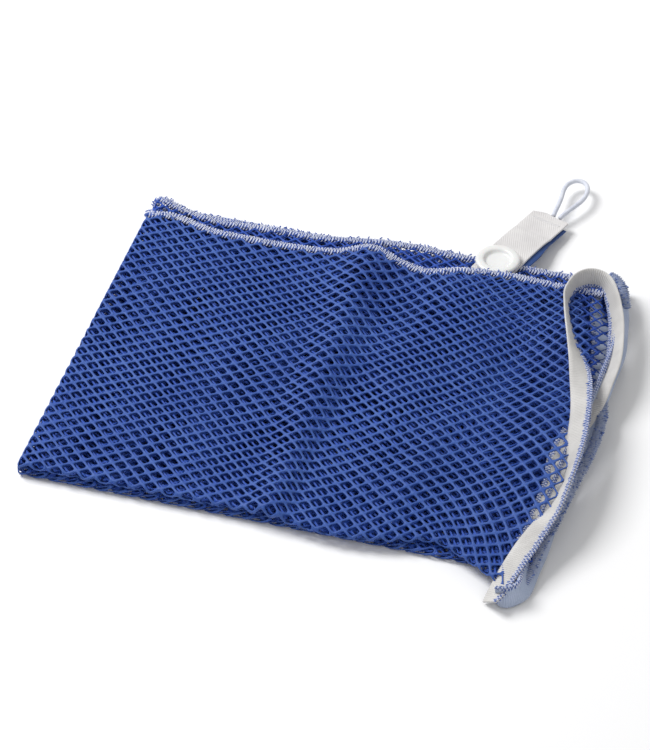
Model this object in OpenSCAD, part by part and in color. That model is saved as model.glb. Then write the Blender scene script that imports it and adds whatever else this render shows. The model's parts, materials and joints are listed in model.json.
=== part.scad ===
// Mesh laundry bag, folded in quarters for storage.
//
// The bag is one length of netting, folded at the bag's bottom, overlocked up both
// sides and bound with tape round the mouth. It lies folded lengthwise, with the
// fold towards -Y and the two side seams towards +Y, and then folded crosswise,
// with that fold towards -X and the mouth towards +X. A leaf is one side of the
// lengthwise fold, and holds an outer and an inner layer of netting. From the top
// the leaves are top, second, third and bottom. The top and second leaves are the
// upper half and end at the mouth; the third and bottom leaves are the lower half
// and end at the bag's bottom. A closure strap with a button and an elastic loop
// is sewn to the second leaf's side seam.
//
// Millimetres, +Z up. The origin is on the underside, in the middle of the folded
// rectangle.

/* [Folded bag] */
// Length from the crosswise fold to the netting's edge at the mouth
folded_l = 310; // [240:1:380]
// Width from the lengthwise fold to the second leaf's side seam
folded_w = 256; // [200:1:320]
// How far the top leaf's side seam stands back from the second leaf's
leaf_step = 21; // [18:1:40]
// How much shorter the lower half is than the upper half
lower_short = 6; // [0:1:30]
// How far the mouth's near corner swings out past the lengthwise fold
corner_flare = 28; // [0:1:45]

/* [Netting] */
// Thickness of one layer of netting
net_t = 1.2; // [0.8:0.1:2]
// Clear space between two layers
layer_gap = 0.2; // [0.2:0.1:0.5]
// Clear space between the lower half and the upper half
half_gap = 0.5; // [0.4:0.1:1.5]
// Height that the top leaf rises at its far right
top_swell = 7; // [5:0.5:12]
// Height that the second leaf rises at its far right
second_swell = 1; // [0:0.5:2]
// Height that the mouth stands open between the top leaf's two layers
mouth_gape = 8; // [6:0.5:12]

/* [Side seams] */
// Width of the overlocked seam
seam_w = 5; // [4:0.5:7]

/* [Mouth tape] */
// Width of the tape round the mouth
tape_w = 12.7; // [9:0.1:16]
// Thickness of the tape round the mouth
tape_t = 0.9; // [0.6:0.1:1.4]
// Width of the row of stitches that holds the tape
stitch_w = 3; // [2:0.5:4]

/* [Closure strap] */
// Width of the strap
strap_w = 25.4; // [20:0.1:30]
// Thickness of the strap
strap_t = 1.4; // [1:0.1:2]
// Length from the button's centre to the strap's end
strap_reach = 64; // [52:1:80]
// Length from the button's centre to the strap's sewn root
strap_root_l = 11; // [8:0.5:12]
// Angle between the strap and the mouth-to-fold direction
strap_angle = 72; // [60:1:90]
// Angle at which the strap's free end slopes down
strap_droop = 6; // [0:0.5:7]
// Distance from the mouth's netting edge to the button's centre
button_from_mouth = 86; // [60:1:110]

/* [Button] */
// Diameter of the button
button_d = 28; // [22:0.5:30]
// Thickness of the button at its rim
button_t = 3.6; // [3:0.1:5]
// Width of the button's raised rim
button_rim = 4.5; // [3:0.5:5]
// Depth of the dish inside the rim
button_dish = 1.6; // [1:0.1:2]
// Clear space between the button and the strap
shank_h = 1.6; // [1.4:0.1:3]

/* [Elastic loop] */
// Diameter of the elastic cord
elastic_d = 3; // [2:0.1:3.6]

/* [Hidden] */

// Colours
net_blue = [0.13, 0.20, 0.55];
seam_blue = [0.55, 0.60, 0.78];
tape_white = [0.88, 0.87, 0.88];
thread_blue = [0.25, 0.33, 0.66];
button_white = [0.92, 0.91, 0.92];

// Clear space between pieces of one body that touch on the real bag
touch_gap = 0.1;
// Clear space between pieces on bodies that move apart
move_gap = 0.3;

// Levels: the under side of each layer of netting
layer_pitch = net_t + layer_gap;
leaf_t = net_t + layer_pitch;
bottom_outer_z = 0;
bottom_inner_z = layer_pitch;
third_inner_z = 2 * layer_pitch;
third_outer_z = 3 * layer_pitch;
second_outer_z = third_outer_z + net_t + half_gap;
second_inner_z = second_outer_z + layer_pitch;
top_inner_z = second_inner_z + layer_pitch;
top_outer_z = top_inner_z + layer_pitch;

// Plan: the fold and the mouth along X, the fold and the seams along Y
fold_x = -folded_l / 2;
mouth_x = folded_l / 2;
near_y = -(folded_w - 6) / 2;
rear_seam_y = near_y + folded_w;
front_seam_y = rear_seam_y - leaf_step;
seam_inset = seam_w + touch_gap;

// The mouth's edge runs back towards its far end, and round the near corner
flare_start_x = mouth_x - 85;
corner_back = 15;
corner_share = 0.19;
sweep_from = 0.3;
front_sweep = 32;
front_lining_sweep = 14;
rear_sweep = 6;

// Where the swell and the gape begin, and how far they take to grow
swell_start = [-70, -100];
swell_run = [120, 170];
gape_start_x = mouth_x - 60;
gape_run_x = 45;

function unit(t) = max(0, min(1, t));
function ease(t) = let(c = unit(t)) c * c * (3 - 2 * c);
function near_edge_y(x) =
    near_y - corner_flare * pow(unit((x - flare_start_x) / (mouth_x - flare_start_x)), 2);
function mouth_edge_x(v, sweep) =
    mouth_x - sweep * pow(unit((v - sweep_from) / (1 - sweep_from)), 2)
    - corner_back * pow(unit((corner_share - v) / corner_share), 2);
function swell(x, y) =
    ease((x - swell_start.x) / swell_run.x) * ease((y - swell_start.y) / swell_run.y);
function gape(x, v) =
    mouth_gape * ease((x - gape_start_x) / gape_run_x)
    * ease((v - 0.04) / 0.2) * (1 - ease((v - 0.9) / 0.1));
function across_y(x, v, far) = let(y0 = near_edge_y(x)) y0 + (far - y0) * v;

// Height of a layer's under side over the plan
function top_leaf_z(x, v, far, level) = level + top_swell * swell(x, across_y(x, v, far));
function top_outer_layer_z(x, v, far) = top_leaf_z(x, v, far, top_outer_z) + gape(x, v);
function second_leaf_z(x, v, far, level) =
    level + second_swell * swell(x, across_y(x, v, far));

// A sheet of cloth: under(u, v) gives the point under the cloth, for u along it and
// v across it, both from 0 to 1
module cloth(columns, rows, thickness, under) {
    count = (columns + 1) * (rows + 1);
    low = [for (i = [0:columns], j = [0:rows]) under(i / columns, j / rows)];
    high = [for (p = low) p + [0, 0, thickness]];
    function at(i, j) = i * (rows + 1) + j;
    top_faces = [for (i = [0:columns - 1], j = [0:rows - 1], half = [0, 1])
        half == 0
            ? [count + at(i, j), count + at(i, j + 1), count + at(i + 1, j + 1)]
            : [count + at(i, j), count + at(i + 1, j + 1), count + at(i + 1, j)]];
    low_faces = [for (i = [0:columns - 1], j = [0:rows - 1], half = [0, 1])
        half == 0
            ? [at(i, j), at(i + 1, j + 1), at(i, j + 1)]
            : [at(i, j), at(i + 1, j), at(i + 1, j + 1)]];
    rim = concat(
        [for (i = [0:columns - 1]) at(i, 0)],
        [for (j = [0:rows - 1]) at(columns, j)],
        [for (i = [columns:-1:1]) at(i, rows)],
        [for (j = [rows:-1:1]) at(0, j)]);
    edges = len(rim);
    rim_faces = [for (k = [0:edges - 1], half = [0, 1])
        let(a = rim[k], b = rim[(k + 1) % edges])
        half == 0 ? [a, b + count, b] : [a, a + count, b + count]];
    polyhedron(points = concat(low, high), faces = concat(top_faces, low_faces, rim_faces));
}

// A solid swept through rings of points, with flat ends
module loft(rings) {
    sides = len(rings[0]);
    last = len(rings) - 1;
    polyhedron(
        points = [for (ring = rings, p = ring) p],
        faces = concat(
            [[for (s = [0:sides - 1]) s]],
            [for (r = [0:last - 1], s = [0:sides - 1], half = [0, 1])
                let(a = r * sides + s, b = r * sides + (s + 1) % sides)
                half == 0 ? [a, a + sides, b + sides] : [a, b + sides, b]],
            [[for (s = [sides - 1:-1:0]) last * sides + s]]));
}

// A layer of the upper half, from the crosswise fold to the mouth
net_columns = 22;
net_rows = 18;
module upper_net(far, sweep, height) {
    inner_far = far - seam_inset;
    cloth(net_columns, net_rows, net_t, function(u, v)
        let(x = fold_x + move_gap + (mouth_edge_x(v, sweep) - fold_x - move_gap) * u)
        [x, across_y(x, v, inner_far), height(x, v, inner_far)]);
}

// A layer of the lower half
module lower_net(level) {
    translate([fold_x + move_gap, near_y, level])
        cube([folded_l - lower_short - move_gap, folded_w - seam_inset, net_t]);
}

module top_leaf_outer_net() {
    color(net_blue)
        upper_net(front_seam_y, front_sweep,
            function(x, v, far) top_outer_layer_z(x, v, far));
}

module top_leaf_inner_net() {
    color(net_blue)
        upper_net(front_seam_y, front_lining_sweep,
            function(x, v, far) top_leaf_z(x, v, far, top_inner_z));
}

module second_leaf_inner_net() {
    color(net_blue)
        upper_net(rear_seam_y, rear_sweep,
            function(x, v, far) second_leaf_z(x, v, far, second_inner_z));
}

module second_leaf_outer_net() {
    color(net_blue)
        upper_net(rear_seam_y, rear_sweep,
            function(x, v, far) second_leaf_z(x, v, far, second_outer_z));
}

module third_leaf_outer_net() { color(net_blue) lower_net(third_outer_z); }
module third_leaf_inner_net() { color(net_blue) lower_net(third_inner_z); }
module bottom_leaf_inner_net() { color(net_blue) lower_net(bottom_inner_z); }
module bottom_leaf_outer_net() { color(net_blue) lower_net(bottom_outer_z); }

// An overlocked seam of the upper half: a flat oval bead along the leaf's far edge
seam_rings = 24;
seam_sides = 10;
module upper_seam(far, sweep, height) {
    x0 = fold_x + move_gap;
    x1 = mouth_edge_x(1, sweep);
    loft([for (r = [0:seam_rings])
        let(x = x0 + (x1 - x0) * r / seam_rings, z = height(x) + leaf_t / 2)
        [for (s = [0:seam_sides - 1])
            let(a = 360 * s / seam_sides)
            [x, far - seam_w / 2 + seam_w / 2 * cos(a), z + leaf_t / 2 * sin(a)]]]);
}

// An overlocked seam of the lower half
module lower_seam(level) {
    edge_r = leaf_t / 2;
    translate([fold_x + move_gap, rear_seam_y - seam_w / 2, level + edge_r])
        rotate([90, 0, 90])
            linear_extrude(folded_l - lower_short - move_gap)
                union() {
                    square([seam_w - leaf_t, leaf_t], center = true);
                    for (side = [-1, 1])
                        translate([side * (seam_w - leaf_t) / 2, 0]) circle(edge_r, $fn = 32);
                }
}

module top_leaf_seam() {
    color(seam_blue)
        upper_seam(front_seam_y, front_lining_sweep,
            function(x) top_leaf_z(x, 1, front_seam_y, top_inner_z));
}

module second_leaf_seam() {
    color(seam_blue)
        upper_seam(rear_seam_y, rear_sweep,
            function(x) second_leaf_z(x, 1, rear_seam_y, second_outer_z));
}

module third_leaf_seam() { color(seam_blue) lower_seam(third_inner_z); }
module bottom_leaf_seam() { color(seam_blue) lower_seam(bottom_outer_z); }

// Tape along one layer's mouth edge. It lies past the edge by `past`, so a negative
// past puts it on top of the netting.
tape_columns = 2;
tape_rows = 26;
tape_first = 0.02;
tape_last = 0.96;
module mouth_tape(far, sweep, past, width, thickness, height) {
    inner_far = far - seam_inset;
    cloth(tape_columns, tape_rows, thickness, function(u, v)
        let(share = tape_first + (tape_last - tape_first) * v,
            x = mouth_edge_x(share, sweep) + past + width * u,
            edge = min(x, mouth_edge_x(share, sweep)))
        [x, across_y(edge, share, inner_far), height(edge, share, inner_far)]);
}

// Rise that keeps the turned-back tape clear of the curved netting under it
cuff_lift = 0.5;
module mouth_tape_front() {
    color(tape_white)
        mouth_tape(front_seam_y, front_sweep, -tape_w, tape_w, tape_t,
            function(x, v, far) top_outer_layer_z(x, v, far) + net_t + cuff_lift);
}

module mouth_tape_front_lining() {
    color(tape_white)
        mouth_tape(front_seam_y, front_lining_sweep, touch_gap, tape_w, tape_t,
            function(x, v, far) top_leaf_z(x, v, far, top_inner_z));
}

module mouth_tape_rear_lining() {
    color(tape_white)
        mouth_tape(rear_seam_y, rear_sweep, touch_gap, tape_w, tape_t,
            function(x, v, far) second_leaf_z(x, v, far, second_inner_z));
}

module mouth_tape_rear() {
    color(tape_white)
        mouth_tape(rear_seam_y, rear_sweep, touch_gap, tape_w, tape_t,
            function(x, v, far) second_leaf_z(x, v, far, second_outer_z));
}

// The rows of zigzag stitches, as thin strips on the tapes' sewn edges
stitch_t = 0.3;
module tape_stitching_front() {
    color(thread_blue)
        mouth_tape(front_seam_y, front_sweep, -stitch_w - touch_gap, stitch_w, stitch_t,
            function(x, v, far)
                top_outer_layer_z(x, v, far) + net_t + cuff_lift + tape_t + 2 * touch_gap);
}

module tape_stitching_rear() {
    color(thread_blue)
        mouth_tape(rear_seam_y, rear_sweep, 2 * touch_gap, stitch_w, stitch_t,
            function(x, v, far)
                second_leaf_z(x, v, far, second_inner_z) + tape_t + touch_gap);
}

// The strap lies on the second leaf, just past the top leaf's seam. Its own frame
// has the button's centre at its origin, the strap's free end towards +X and the
// strap's top face at Z = 0.
button_x = mouth_x - button_from_mouth;
button_y = front_seam_y + button_d / 2 + 1;
strap_top_z = second_inner_z + net_t + second_swell + layer_gap + strap_t;
strap_bend_x = button_d / 2 + 4;
module on_strap() {
    translate([button_x, button_y, strap_top_z]) rotate(strap_angle) children();
}

// The free end's frame starts at the bend and slopes down
module on_strap_end() {
    on_strap()
        translate([strap_bend_x, 0, -strap_t / 2])
            rotate([0, strap_droop, 0])
                translate([0, 0, strap_t / 2])
                    children();
}

module strap_root() {
    color(tape_white)
        on_strap()
            translate([-strap_root_l, -strap_w / 2, -strap_t])
                cube([strap_root_l + strap_bend_x - move_gap, strap_w, strap_t]);
}

strap_end_l = strap_reach - strap_bend_x;
module strap_end() {
    color(tape_white)
        on_strap_end()
            translate([move_gap, -strap_w / 2, -strap_t])
                cube([strap_end_l - move_gap, strap_w, strap_t]);
}

// A bar tack: a raised bar of close stitches across the strap
tack_w = 2.4;
tack_t = 0.5;
tack_margin = 3;
module bar_tack() {
    length = strap_w - 2 * tack_margin;
    translate([-tack_w / 2, -length / 2, touch_gap]) cube([tack_w, length, tack_t]);
}

module strap_root_tack() {
    color(tape_white) on_strap() translate([-strap_root_l + tack_margin, 0, 0]) bar_tack();
}

module strap_end_tack() {
    color(tape_white) on_strap_end() translate([strap_end_l - 2 * tack_margin, 0, 0]) bar_tack();
}

// The button: a dished disc with a rounded rim, turned about its own axis, on a
// short shank
shank_r = 2.2;
shank_foot_gap = 0.25;
module button() {
    rim_r = button_d / 2;
    edge_r = button_t / 2;
    color(button_white)
        on_strap()
            translate([0, 0, shank_h])
                difference() {
                    union() {
                        rotate_extrude($fn = 96)
                            union() {
                                square([rim_r - edge_r, button_t]);
                                translate([rim_r - edge_r, edge_r]) circle(edge_r, $fn = 48);
                                translate([0, -shank_h + shank_foot_gap])
                                    square([shank_r, shank_h]);
                            }
                    }
                    translate([0, 0, button_t - button_dish])
                        cylinder(h = button_dish + 1, r1 = rim_r - button_rim,
                                 r2 = rim_r - button_rim + button_dish, $fn = 96);
                }
}

// The thread wound round the button's shank
thread_wall = 1.1;
module button_thread() {
    color(tape_white)
        on_strap()
            translate([0, 0, touch_gap])
                rotate_extrude($fn = 64)
                    translate([shank_r + move_gap, 0])
                        square([thread_wall, shank_h / 2 - touch_gap]);
}

// The elastic loop's route, from the strap's end, round the loop and back
elastic_route = [
    [90.2, 187.3, 6.6], [90.4, 192, 7.1], [90.9, 198.5, 7.3], [91, 206, 7.3],
    [90.7, 213, 7.3], [91.6, 219.5, 7.3], [94.8, 224.2, 7.3], [98.6, 225.6, 7.3],
    [102.2, 224.2, 7.3], [104.8, 220, 7.3], [105.6, 214, 7.3], [104.6, 207.2, 7.3],
    [102, 200.8, 7.3], [98.9, 194.8, 7.2], [96.3, 189.8, 6.9], [94.6, 185.8, 6.6]
];
elastic_sides = 8;
steps_per_span = 3;

// A smooth curve through the route's points
function route_at(points, i) = points[max(0, min(len(points) - 1, i))];
function curve_point(points, i, t) =
    let(a = route_at(points, i - 1), b = points[i],
        c = route_at(points, i + 1), d = route_at(points, i + 2))
    0.5 * ((2 * b) + (c - a) * t + (2 * a - 5 * b + 4 * c - d) * t * t
        + (3 * b - a - 3 * c + d) * t * t * t);
function curve(points, steps) = concat(
    [for (i = [0:len(points) - 2], s = [0:steps - 1]) curve_point(points, i, s / steps)],
    [points[len(points) - 1]]);
function heading(points, i) =
    let(d = route_at(points, i + 1) - route_at(points, i - 1)) d / norm(d);

module elastic_loop() {
    path = curve(elastic_route, steps_per_span);
    color(tape_white)
        loft([for (i = [0:len(path) - 1])
            let(along = heading(path, i),
                side = cross(along, [0, 0, 1]) / norm(cross(along, [0, 0, 1])),
                up = cross(side, along))
            [for (s = [0:elastic_sides - 1])
                let(a = 360 * s / elastic_sides)
                path[i] + elastic_d / 2 * (cos(a) * side + sin(a) * up)]]);
}

top_leaf_outer_net();
top_leaf_inner_net();
second_leaf_inner_net();
second_leaf_outer_net();
third_leaf_outer_net();
third_leaf_inner_net();
bottom_leaf_inner_net();
bottom_leaf_outer_net();
top_leaf_seam();
second_leaf_seam();
third_leaf_seam();
bottom_leaf_seam();
mouth_tape_front();
mouth_tape_front_lining();
mouth_tape_rear_lining();
mouth_tape_rear();
tape_stitching_front();
tape_stitching_rear();
strap_root();
strap_end();
strap_root_tack();
strap_end_tack();
button();
button_thread();
elastic_loop();
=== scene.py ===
"""Mesh laundry bag, folded in quarters: the netting, seams, tape, strap, button and loop.

The bag's netting has two panels. The outer panel lies outside the lengthwise fold and
the inner panel lies inside it, and both go on round the crosswise fold. A point of a
panel is placed by two lengths on the flat cloth: `along`, from the crosswise fold
towards the mouth, and `girth`, from the lengthwise fold up the top leaf's side, or
below nought down the second leaf's side. All lengths are in metres.
"""

from __future__ import annotations

import json
import logging
import math
from dataclasses import dataclass, field
from enum import Enum

import bpy
import numpy as np
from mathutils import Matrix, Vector


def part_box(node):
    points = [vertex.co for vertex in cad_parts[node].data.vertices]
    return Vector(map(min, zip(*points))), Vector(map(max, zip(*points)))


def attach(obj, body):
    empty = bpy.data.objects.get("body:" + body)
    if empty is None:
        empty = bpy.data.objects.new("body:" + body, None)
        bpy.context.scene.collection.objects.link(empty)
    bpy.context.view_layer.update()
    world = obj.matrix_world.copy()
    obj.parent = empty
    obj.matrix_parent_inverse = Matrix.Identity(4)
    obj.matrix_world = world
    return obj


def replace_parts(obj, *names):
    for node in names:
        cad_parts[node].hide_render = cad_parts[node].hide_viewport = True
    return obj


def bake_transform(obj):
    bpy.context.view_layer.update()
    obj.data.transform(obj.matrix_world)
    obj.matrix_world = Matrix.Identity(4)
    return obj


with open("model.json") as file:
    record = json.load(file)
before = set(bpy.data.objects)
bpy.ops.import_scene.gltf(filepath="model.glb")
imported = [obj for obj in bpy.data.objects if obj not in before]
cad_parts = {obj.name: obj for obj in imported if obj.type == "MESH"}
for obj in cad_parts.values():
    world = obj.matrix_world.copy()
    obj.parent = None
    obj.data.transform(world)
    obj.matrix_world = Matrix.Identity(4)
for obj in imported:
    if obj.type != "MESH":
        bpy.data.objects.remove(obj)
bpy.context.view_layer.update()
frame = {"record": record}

log = logging.getLogger("laundry_bag")

MM = 0.001
Colour = tuple[float, float, float]
Point = tuple[float, float, float]
MeshData = tuple[np.ndarray, np.ndarray]


class Body(str, Enum):
    """The bodies that the pieces ride on."""

    LOWER = "lower_half"
    UPPER = "upper_half"
    STRAP_END = "strap_end"
    BUTTON = "button"
    LOOP = "elastic_loop"


class Slot(str, Enum):
    """The record's material slots."""

    NETTING = "netting"
    SEAM = "seam_thread"
    TAPE = "mouth_tape"
    STITCH = "stitch_thread"
    STRAP = "strap_webbing"
    TACK = "tack_thread"
    BUTTON = "button"
    ELASTIC = "elastic"


class Panel(str, Enum):
    """The netting's two panels."""

    OUTER = "outer"
    INNER = "inner"


class Leaf(str, Enum):
    """The two leaves of the lengthwise fold, as they lie in the upper half."""

    TOP = "top"
    SECOND = "second"


# Names of the same two leaves where they lie in the lower half.
LOWER_NAMES = {Leaf.TOP: "bottom", Leaf.SECOND: "third"}


# ---------------------------------------------------------------- small helpers


def ease(t: np.ndarray | float) -> np.ndarray:
    """Smooth step from 0 to 1 as t goes from 0 to 1."""
    c = np.clip(t, 0.0, 1.0)
    return c * c * (3 - 2 * c)


def bumps_at(x: np.ndarray | float, bumps: tuple[Point, ...]) -> np.ndarray:
    """The height of a row of smooth bumps.

    Args:
        x: Places along the row, in metres.
        bumps: Each bump's place, reach and rise, in millimetres.

    Returns:
        The heights in millimetres.
    """
    return sum(rise * np.exp(-(((x / MM - at) / reach) ** 2)) for at, reach, rise in bumps)


def unit(v: np.ndarray) -> np.ndarray:
    """The vectors of v at length 1."""
    return v / np.maximum(np.linalg.norm(v, axis=-1, keepdims=True), 1e-12)


def smooth_line(points: np.ndarray, spacing: float, steps: int = 24) -> np.ndarray:
    """Evenly spaced rows on a smooth curve through points.

    Args:
        points: Rows of any width whose first three columns are a place.
        spacing: Distance between the rows that come back.
        steps: Straight steps between two points before the even spacing.

    Returns:
        The rows, first and last point included.
    """
    padded = np.vstack([2 * points[0] - points[1], points, 2 * points[-1] - points[-2]])
    t = np.linspace(0, 1, steps, endpoint=False)[:, None]
    spans = []
    for a, b, c, d in zip(padded, padded[1:], padded[2:], padded[3:]):
        curve = 2 * b + (c - a) * t + (2 * a - 5 * b + 4 * c - d) * t**2
        spans.append(0.5 * (curve + (3 * b - a - 3 * c + d) * t**3))
    rows = np.vstack([*spans, points[-1:]])
    run = np.linalg.norm(np.diff(rows[:, :3], axis=0), axis=1)
    length = np.concatenate([[0], np.cumsum(run)])
    count = max(2, int(round(length[-1] / spacing)) + 1)
    at = np.linspace(0, length[-1], count)
    return np.column_stack([np.interp(at, length, column) for column in rows.T])


def line_length(line: np.ndarray) -> float:
    """Length of a line of points."""
    return float(np.linalg.norm(np.diff(line[:, :3], axis=0), axis=1).sum())


def headings(line: np.ndarray) -> np.ndarray:
    """Unit directions along a line of points."""
    return unit(np.gradient(line[:, :3], axis=0))


def carried_sides(line: np.ndarray) -> tuple[np.ndarray, np.ndarray]:
    """Two directions across a line that turn with it and don't twist.

    Args:
        line: Points along the line.

    Returns:
        The sideways and the upward direction at each point.
    """
    ways = headings(line)
    steep = abs(ways[0, 2]) >= 0.9
    first = np.array([1.0, 0.0, 0.0] if steep else [0.0, 0.0, 1.0])
    ups = [first]
    for way in ways:
        up = ups[-1] - way * float(ups[-1] @ way)
        ups.append(up / np.linalg.norm(up))
    up = np.array(ups[1:])
    return np.cross(ways, up), up


def add_mesh(name: str, points: np.ndarray, faces: np.ndarray) -> bpy.types.Object:
    """A smooth-shaded mesh object made from arrays.

    Args:
        name: The object's name.
        points: One row for each vertex.
        faces: One row for each face, all with the same number of corners.

    Returns:
        The object, linked to the scene.
    """
    mesh = bpy.data.meshes.new(name)
    count, corners = faces.shape
    mesh.vertices.add(len(points))
    mesh.vertices.foreach_set("co", points.astype(np.float32).ravel())
    mesh.loops.add(count * corners)
    mesh.loops.foreach_set("vertex_index", faces.astype(np.int32).ravel())
    mesh.polygons.add(count)
    mesh.polygons.foreach_set("loop_start", np.arange(0, count * corners, corners, dtype=np.int32))
    mesh.polygons.foreach_set("use_smooth", np.ones(count, bool))
    mesh.update(calc_edges=True)
    mesh.validate()
    thing = bpy.data.objects.new(name, mesh)
    bpy.context.scene.collection.objects.link(thing)
    return thing


def rings_mesh(rings: np.ndarray) -> MeshData:
    """Points and faces of a skin over rings of points, closed at both ends.

    Args:
        rings: Array of rings, points in a ring, and coordinates.

    Returns:
        The points, and faces of four corners. A strip of them closes each end.
    """
    count, sides = rings.shape[:2]
    points = rings.reshape(-1, 3)
    ring, side = np.meshgrid(np.arange(count - 1), np.arange(sides), indexing="ij")
    this = ring * sides
    following = this + sides
    after = (side + 1) % sides
    corners = [this + side, this + after, following + after, following + side]
    faces = np.stack(corners, axis=-1).reshape(-1, 4)
    for start, flip in ((0, True), ((count - 1) * sides, False)):
        around = start + np.arange(sides // 2)
        back = start + sides - 1 - np.arange(sides // 2)
        cap = np.stack([around[:-1], around[1:], back[1:], back[:-1]], axis=-1)
        faces = np.vstack([faces, cap[:, ::-1] if flip else cap])
    return points, faces


def tube_mesh(line: np.ndarray, radius: float, sides: int) -> MeshData:
    """Points and faces of a round tube.

    Args:
        line: The tube's centreline.
        radius: The tube's radius.
        sides: An even number of sides.

    Returns:
        The points and the faces.
    """
    side, up = carried_sides(line)
    turn = np.linspace(0, 2 * math.pi, sides, endpoint=False)
    ring = np.cos(turn)[None, :, None] * side[:, None] + np.sin(turn)[None, :, None] * up[:, None]
    return rings_mesh(line[:, None, :3] + radius * ring)


def join_parts(parts: list[MeshData]) -> MeshData:
    """Several meshes' points and faces as one.

    Args:
        parts: Each mesh's points and faces.

    Returns:
        All the points, and the faces with their corners counted on.
    """
    starts = np.cumsum([0] + [len(points) for points, _ in parts])
    faces = [faces + start for (_, faces), start in zip(parts, starts)]
    return np.vstack([points for points, _ in parts]), np.vstack(faces)


# ---------------------------------------------------------------- shader maths

# Numbers of the Mix node's sockets when it mixes colours.
COLOUR_A = 6
COLOUR_B = 7
COLOUR_RESULT = 2


class Value:
    """A number on a shader socket. Arithmetic on it adds Math nodes."""

    def __init__(self, shader: Shader, socket: bpy.types.NodeSocket) -> None:
        """Wraps a socket of a shader."""
        self.shader = shader
        self.socket = socket

    def _math(self, operation: str, *values: Value | float) -> Value:
        """The result of one Math node."""
        node = self.shader.node("ShaderNodeMath", {"operation": operation}, dict(enumerate(values)))
        return Value(self.shader, node.outputs[0])

    def __add__(self, other: Value | float) -> Value:
        """This plus other."""
        return self._math("ADD", self, other)

    __radd__ = __add__

    def __mul__(self, other: Value | float) -> Value:
        """This times other."""
        return self._math("MULTIPLY", self, other)

    __rmul__ = __mul__


class Shader:
    """A material with its Principled shader, built node by node."""

    def __init__(self, name: str, **constants: float) -> None:
        """Starts a material and sets the sockets that are the same all over.

        Args:
            name: The material's name.
            **constants: Principled sockets by name, with _ for a space.
        """
        self.material = bpy.data.materials.new(name)
        self.material.use_nodes = True
        self.nodes = self.material.node_tree.nodes
        self.links = self.material.node_tree.links
        self.principled = self.nodes["Principled BSDF"]
        for key, value in constants.items():
            self.principled.inputs[key.replace("_", " ")].default_value = value

    def node(
        self,
        kind: str,
        settings: dict[str, str] | None = None,
        inputs: dict[str | int, Value | bpy.types.NodeSocket | Colour | float] | None = None,
    ) -> bpy.types.Node:
        """Adds any node.

        Args:
            kind: The node's type.
            settings: Its settings, which are set first.
            inputs: Values or links for its sockets, by name or number.

        Returns:
            The node.
        """
        made = self.nodes.new(kind)
        for key, value in (settings or {}).items():
            setattr(made, key, value)
        for key, value in (inputs or {}).items():
            socket = made.inputs[key]
            if isinstance(value, Value):
                self.links.new(value.socket, socket)
            elif isinstance(value, bpy.types.NodeSocket):
                self.links.new(value, socket)
            else:
                socket.default_value = (*value, 1.0) if isinstance(value, tuple) else value
        return made

    def place(self) -> bpy.types.NodeSocket:
        """The place on the object, in metres."""
        return self.node("ShaderNodeTexCoord").outputs["Object"]

    def noise(self, scale: float, detail: float = 3.0, rough: float = 0.55) -> Value:
        """Noise from 0 to 1.

        Args:
            scale: Cells to the metre.
            detail: How many finer layers are added.
            rough: How strong the finer layers are.

        Returns:
            The noise.
        """
        inputs = {"Vector": self.place(), "Scale": scale, "Detail": detail, "Roughness": rough}
        made = self.node("ShaderNodeTexNoise", inputs=inputs)
        return Value(self, made.outputs[0])

    def between(self, low: float, high: float, value: Value) -> Value:
        """A value as a smooth step.

        Args:
            low: The value at which the step is 0.
            high: The value at which the step is 1.
            value: The value.

        Returns:
            The step, from 0 to 1.
        """
        made = self.node(
            "ShaderNodeMapRange",
            {"interpolation_type": "SMOOTHSTEP"},
            {"Value": value, "From Min": low, "From Max": high},
        )
        return Value(self, made.outputs[0])

    def mix(
        self, factor: Value, first: Colour | bpy.types.NodeSocket, second: Colour
    ) -> bpy.types.NodeSocket:
        """A colour between two.

        Args:
            factor: How much of the second colour there is.
            first: The first colour.
            second: The second colour.

        Returns:
            The socket that gives the colour.
        """
        made = self.node(
            "ShaderNodeMix",
            {"data_type": "RGBA"},
            {"Factor": factor, COLOUR_A: first, COLOUR_B: second},
        )
        return made.outputs[COLOUR_RESULT]

    def paint(
        self, colour: bpy.types.NodeSocket, rough: Value, height: Value, depth: float
    ) -> bpy.types.Material:
        """Feeds the shader what changes over the surface.

        Args:
            colour: The base colour.
            rough: The roughness.
            height: The relief, from 0 to 1.
            depth: The relief's height in metres.

        Returns:
            The finished material.
        """
        relief = {"Height": height, "Distance": depth, "Strength": 1.0}
        bump = self.node("ShaderNodeBump", inputs=relief)
        self.links.new(colour, self.principled.inputs["Base Color"])
        self.links.new(rough.socket, self.principled.inputs["Roughness"])
        self.links.new(bump.outputs[0], self.principled.inputs["Normal"])
        return self.material


# ---------------------------------------------------------------- finishes


@dataclass(frozen=True)
class YarnFinish:
    """Knitted or sewn yarn: fine filaments, uneven dye and a soft sheen.

    The filaments, the dye's patches and the specks are so many to the metre.
    """

    name: str
    light: Colour
    deep: Colour
    sheen: float = 0.25
    filaments: float = 1900.0
    patches: float = 34.0
    specks: float = 620.0
    relief: float = 0.12 * MM
    roughness: float = 0.58

    def material(self) -> bpy.types.Material:
        """Makes the yarn's material.

        Returns:
            The material.
        """
        shader = Shader(
            self.name, Sheen_Weight=self.sheen, Sheen_Roughness=0.4, Specular_IOR_Level=0.35
        )
        strands = shader.noise(self.filaments, detail=4.0, rough=0.65)
        dye = shader.noise(self.patches)
        speck = shader.noise(self.specks, detail=2.0)
        tone = shader.between(0.3, 0.75, dye * 0.5 + speck * 0.5)
        colour = shader.mix(tone, self.deep, self.light)
        worn = shader.mix(shader.between(0.55, 0.85, strands) * 0.35, colour, self.light)
        rough = shader.between(0.2, 0.9, strands) * 0.2 + (self.roughness - 0.1)
        return shader.paint(worn, rough, strands, self.relief)


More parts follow.
